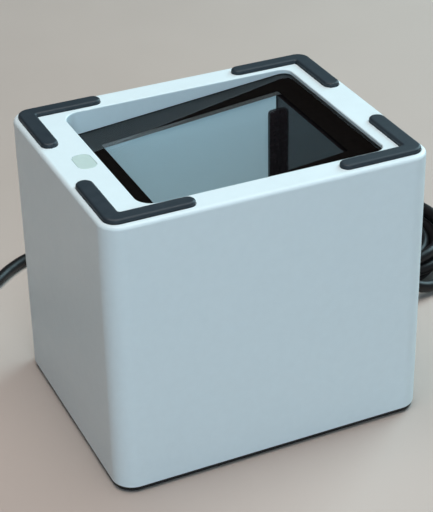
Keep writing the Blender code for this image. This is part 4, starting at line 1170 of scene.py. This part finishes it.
def stage():
    made, tree, shader, place = new_material("floor_pale")
    patches = noise(tree, place, 3.0, 3.0)
    colour = two_colours(tree, patches, (0.48, 0.40, 0.355), (0.52, 0.435, 0.385))
    tree.links.new(colour, shader.inputs["Base Color"])
    tree.links.new(spread(tree, noise(tree, place, 40.0), 0.6, 0.7), shader.inputs["Roughness"])
    floor = bare("floor", box(-6, 6, -6, 6, -0.02, 0.0))
    floor.data.materials.append(made)


LIGHTS = [
    # name, place, size, watts, colour
    ("overhead", (0.10, -0.08, 1.25), 0.9, 12.6, (0.98, 0.955, 0.93)),
    ("key", (1.236, -0.285, 0.642), 0.6, 8.0, (0.60, 0.83, 1.0)),
    ("rear_fill", (-0.415, 1.139, 0.75), 0.8, 15.5, (0.60, 0.90, 1.0)),
]


def lights():
    """Three square lamps aimed at the reader's middle, and a dim world that is dark overhead."""
    aim = Vector((0, 0, 0.05))
    for name, place, size, watts, colour in LIGHTS:
        data = bpy.data.lights.new(name, "AREA")
        data.shape = "SQUARE"
        data.size = size
        data.energy = watts
        data.color = colour
        lamp = bpy.data.objects.new(name, data)
        bpy.context.scene.collection.objects.link(lamp)
        lamp.location = place
        lamp.rotation_mode = "QUATERNION"
        lamp.rotation_quaternion = (aim - Vector(place)).to_track_quat("-Z", "Y")
    world = bpy.data.worlds.new("studio")
    bpy.context.scene.world = world
    world.use_nodes = True
    tree = world.node_tree
    place = tree.nodes.new("ShaderNodeTexCoord").outputs["Generated"]
    split = tree.nodes.new("ShaderNodeSeparateXYZ")
    tree.links.new(place, split.inputs[0])
    horizon, above = (0.16, 0.125, 0.135), (0.006, 0.006, 0.007)
    colour = two_colours(tree, split.outputs["Z"], horizon, above, 0.10, 0.32)
    tree.links.new(colour, tree.nodes["Background"].inputs["Color"])
    tree.nodes["Background"].inputs["Strength"].default_value = 1.0


def camera():
    """A long lens that looks down from the front right; the angles are in degrees."""
    azimuth, elevation, roll = (math.radians(value) for value in (65.88, 30.74, -1.16))
    flat = math.cos(elevation)
    back = Vector((math.sin(azimuth) * flat, -math.cos(azimuth) * flat, math.sin(elevation)))
    level = Vector((math.cos(azimuth), math.sin(azimuth), 0.0))
    upright = back.cross(level)
    right = level * math.cos(roll) + upright * math.sin(roll)
    up = upright * math.cos(roll) - level * math.sin(roll)
    data = bpy.data.cameras.new("camera")
    data.sensor_width = 36.0
    data.lens = 112.94
    data.clip_start, data.clip_end = 0.01, 50.0
    made = bpy.data.objects.new("camera", data)
    bpy.context.scene.collection.objects.link(made)
    turn = Matrix((right, up, back)).transposed().to_4x4()
    made.matrix_world = Matrix.Translation((0.44022, -0.197455, 0.340645)) @ turn
    bpy.context.scene.camera = made


bpy.context.scene.view_settings.view_transform = "Standard"
camera()
stage()
lights()
cable_piece, cable_length = cable()
outer_shell()
corner_pads()
status_lens()
window()
gasket()
chamber()
diffusers()
lens()
base()
feet()
screws()
boot()
strap()
plug()
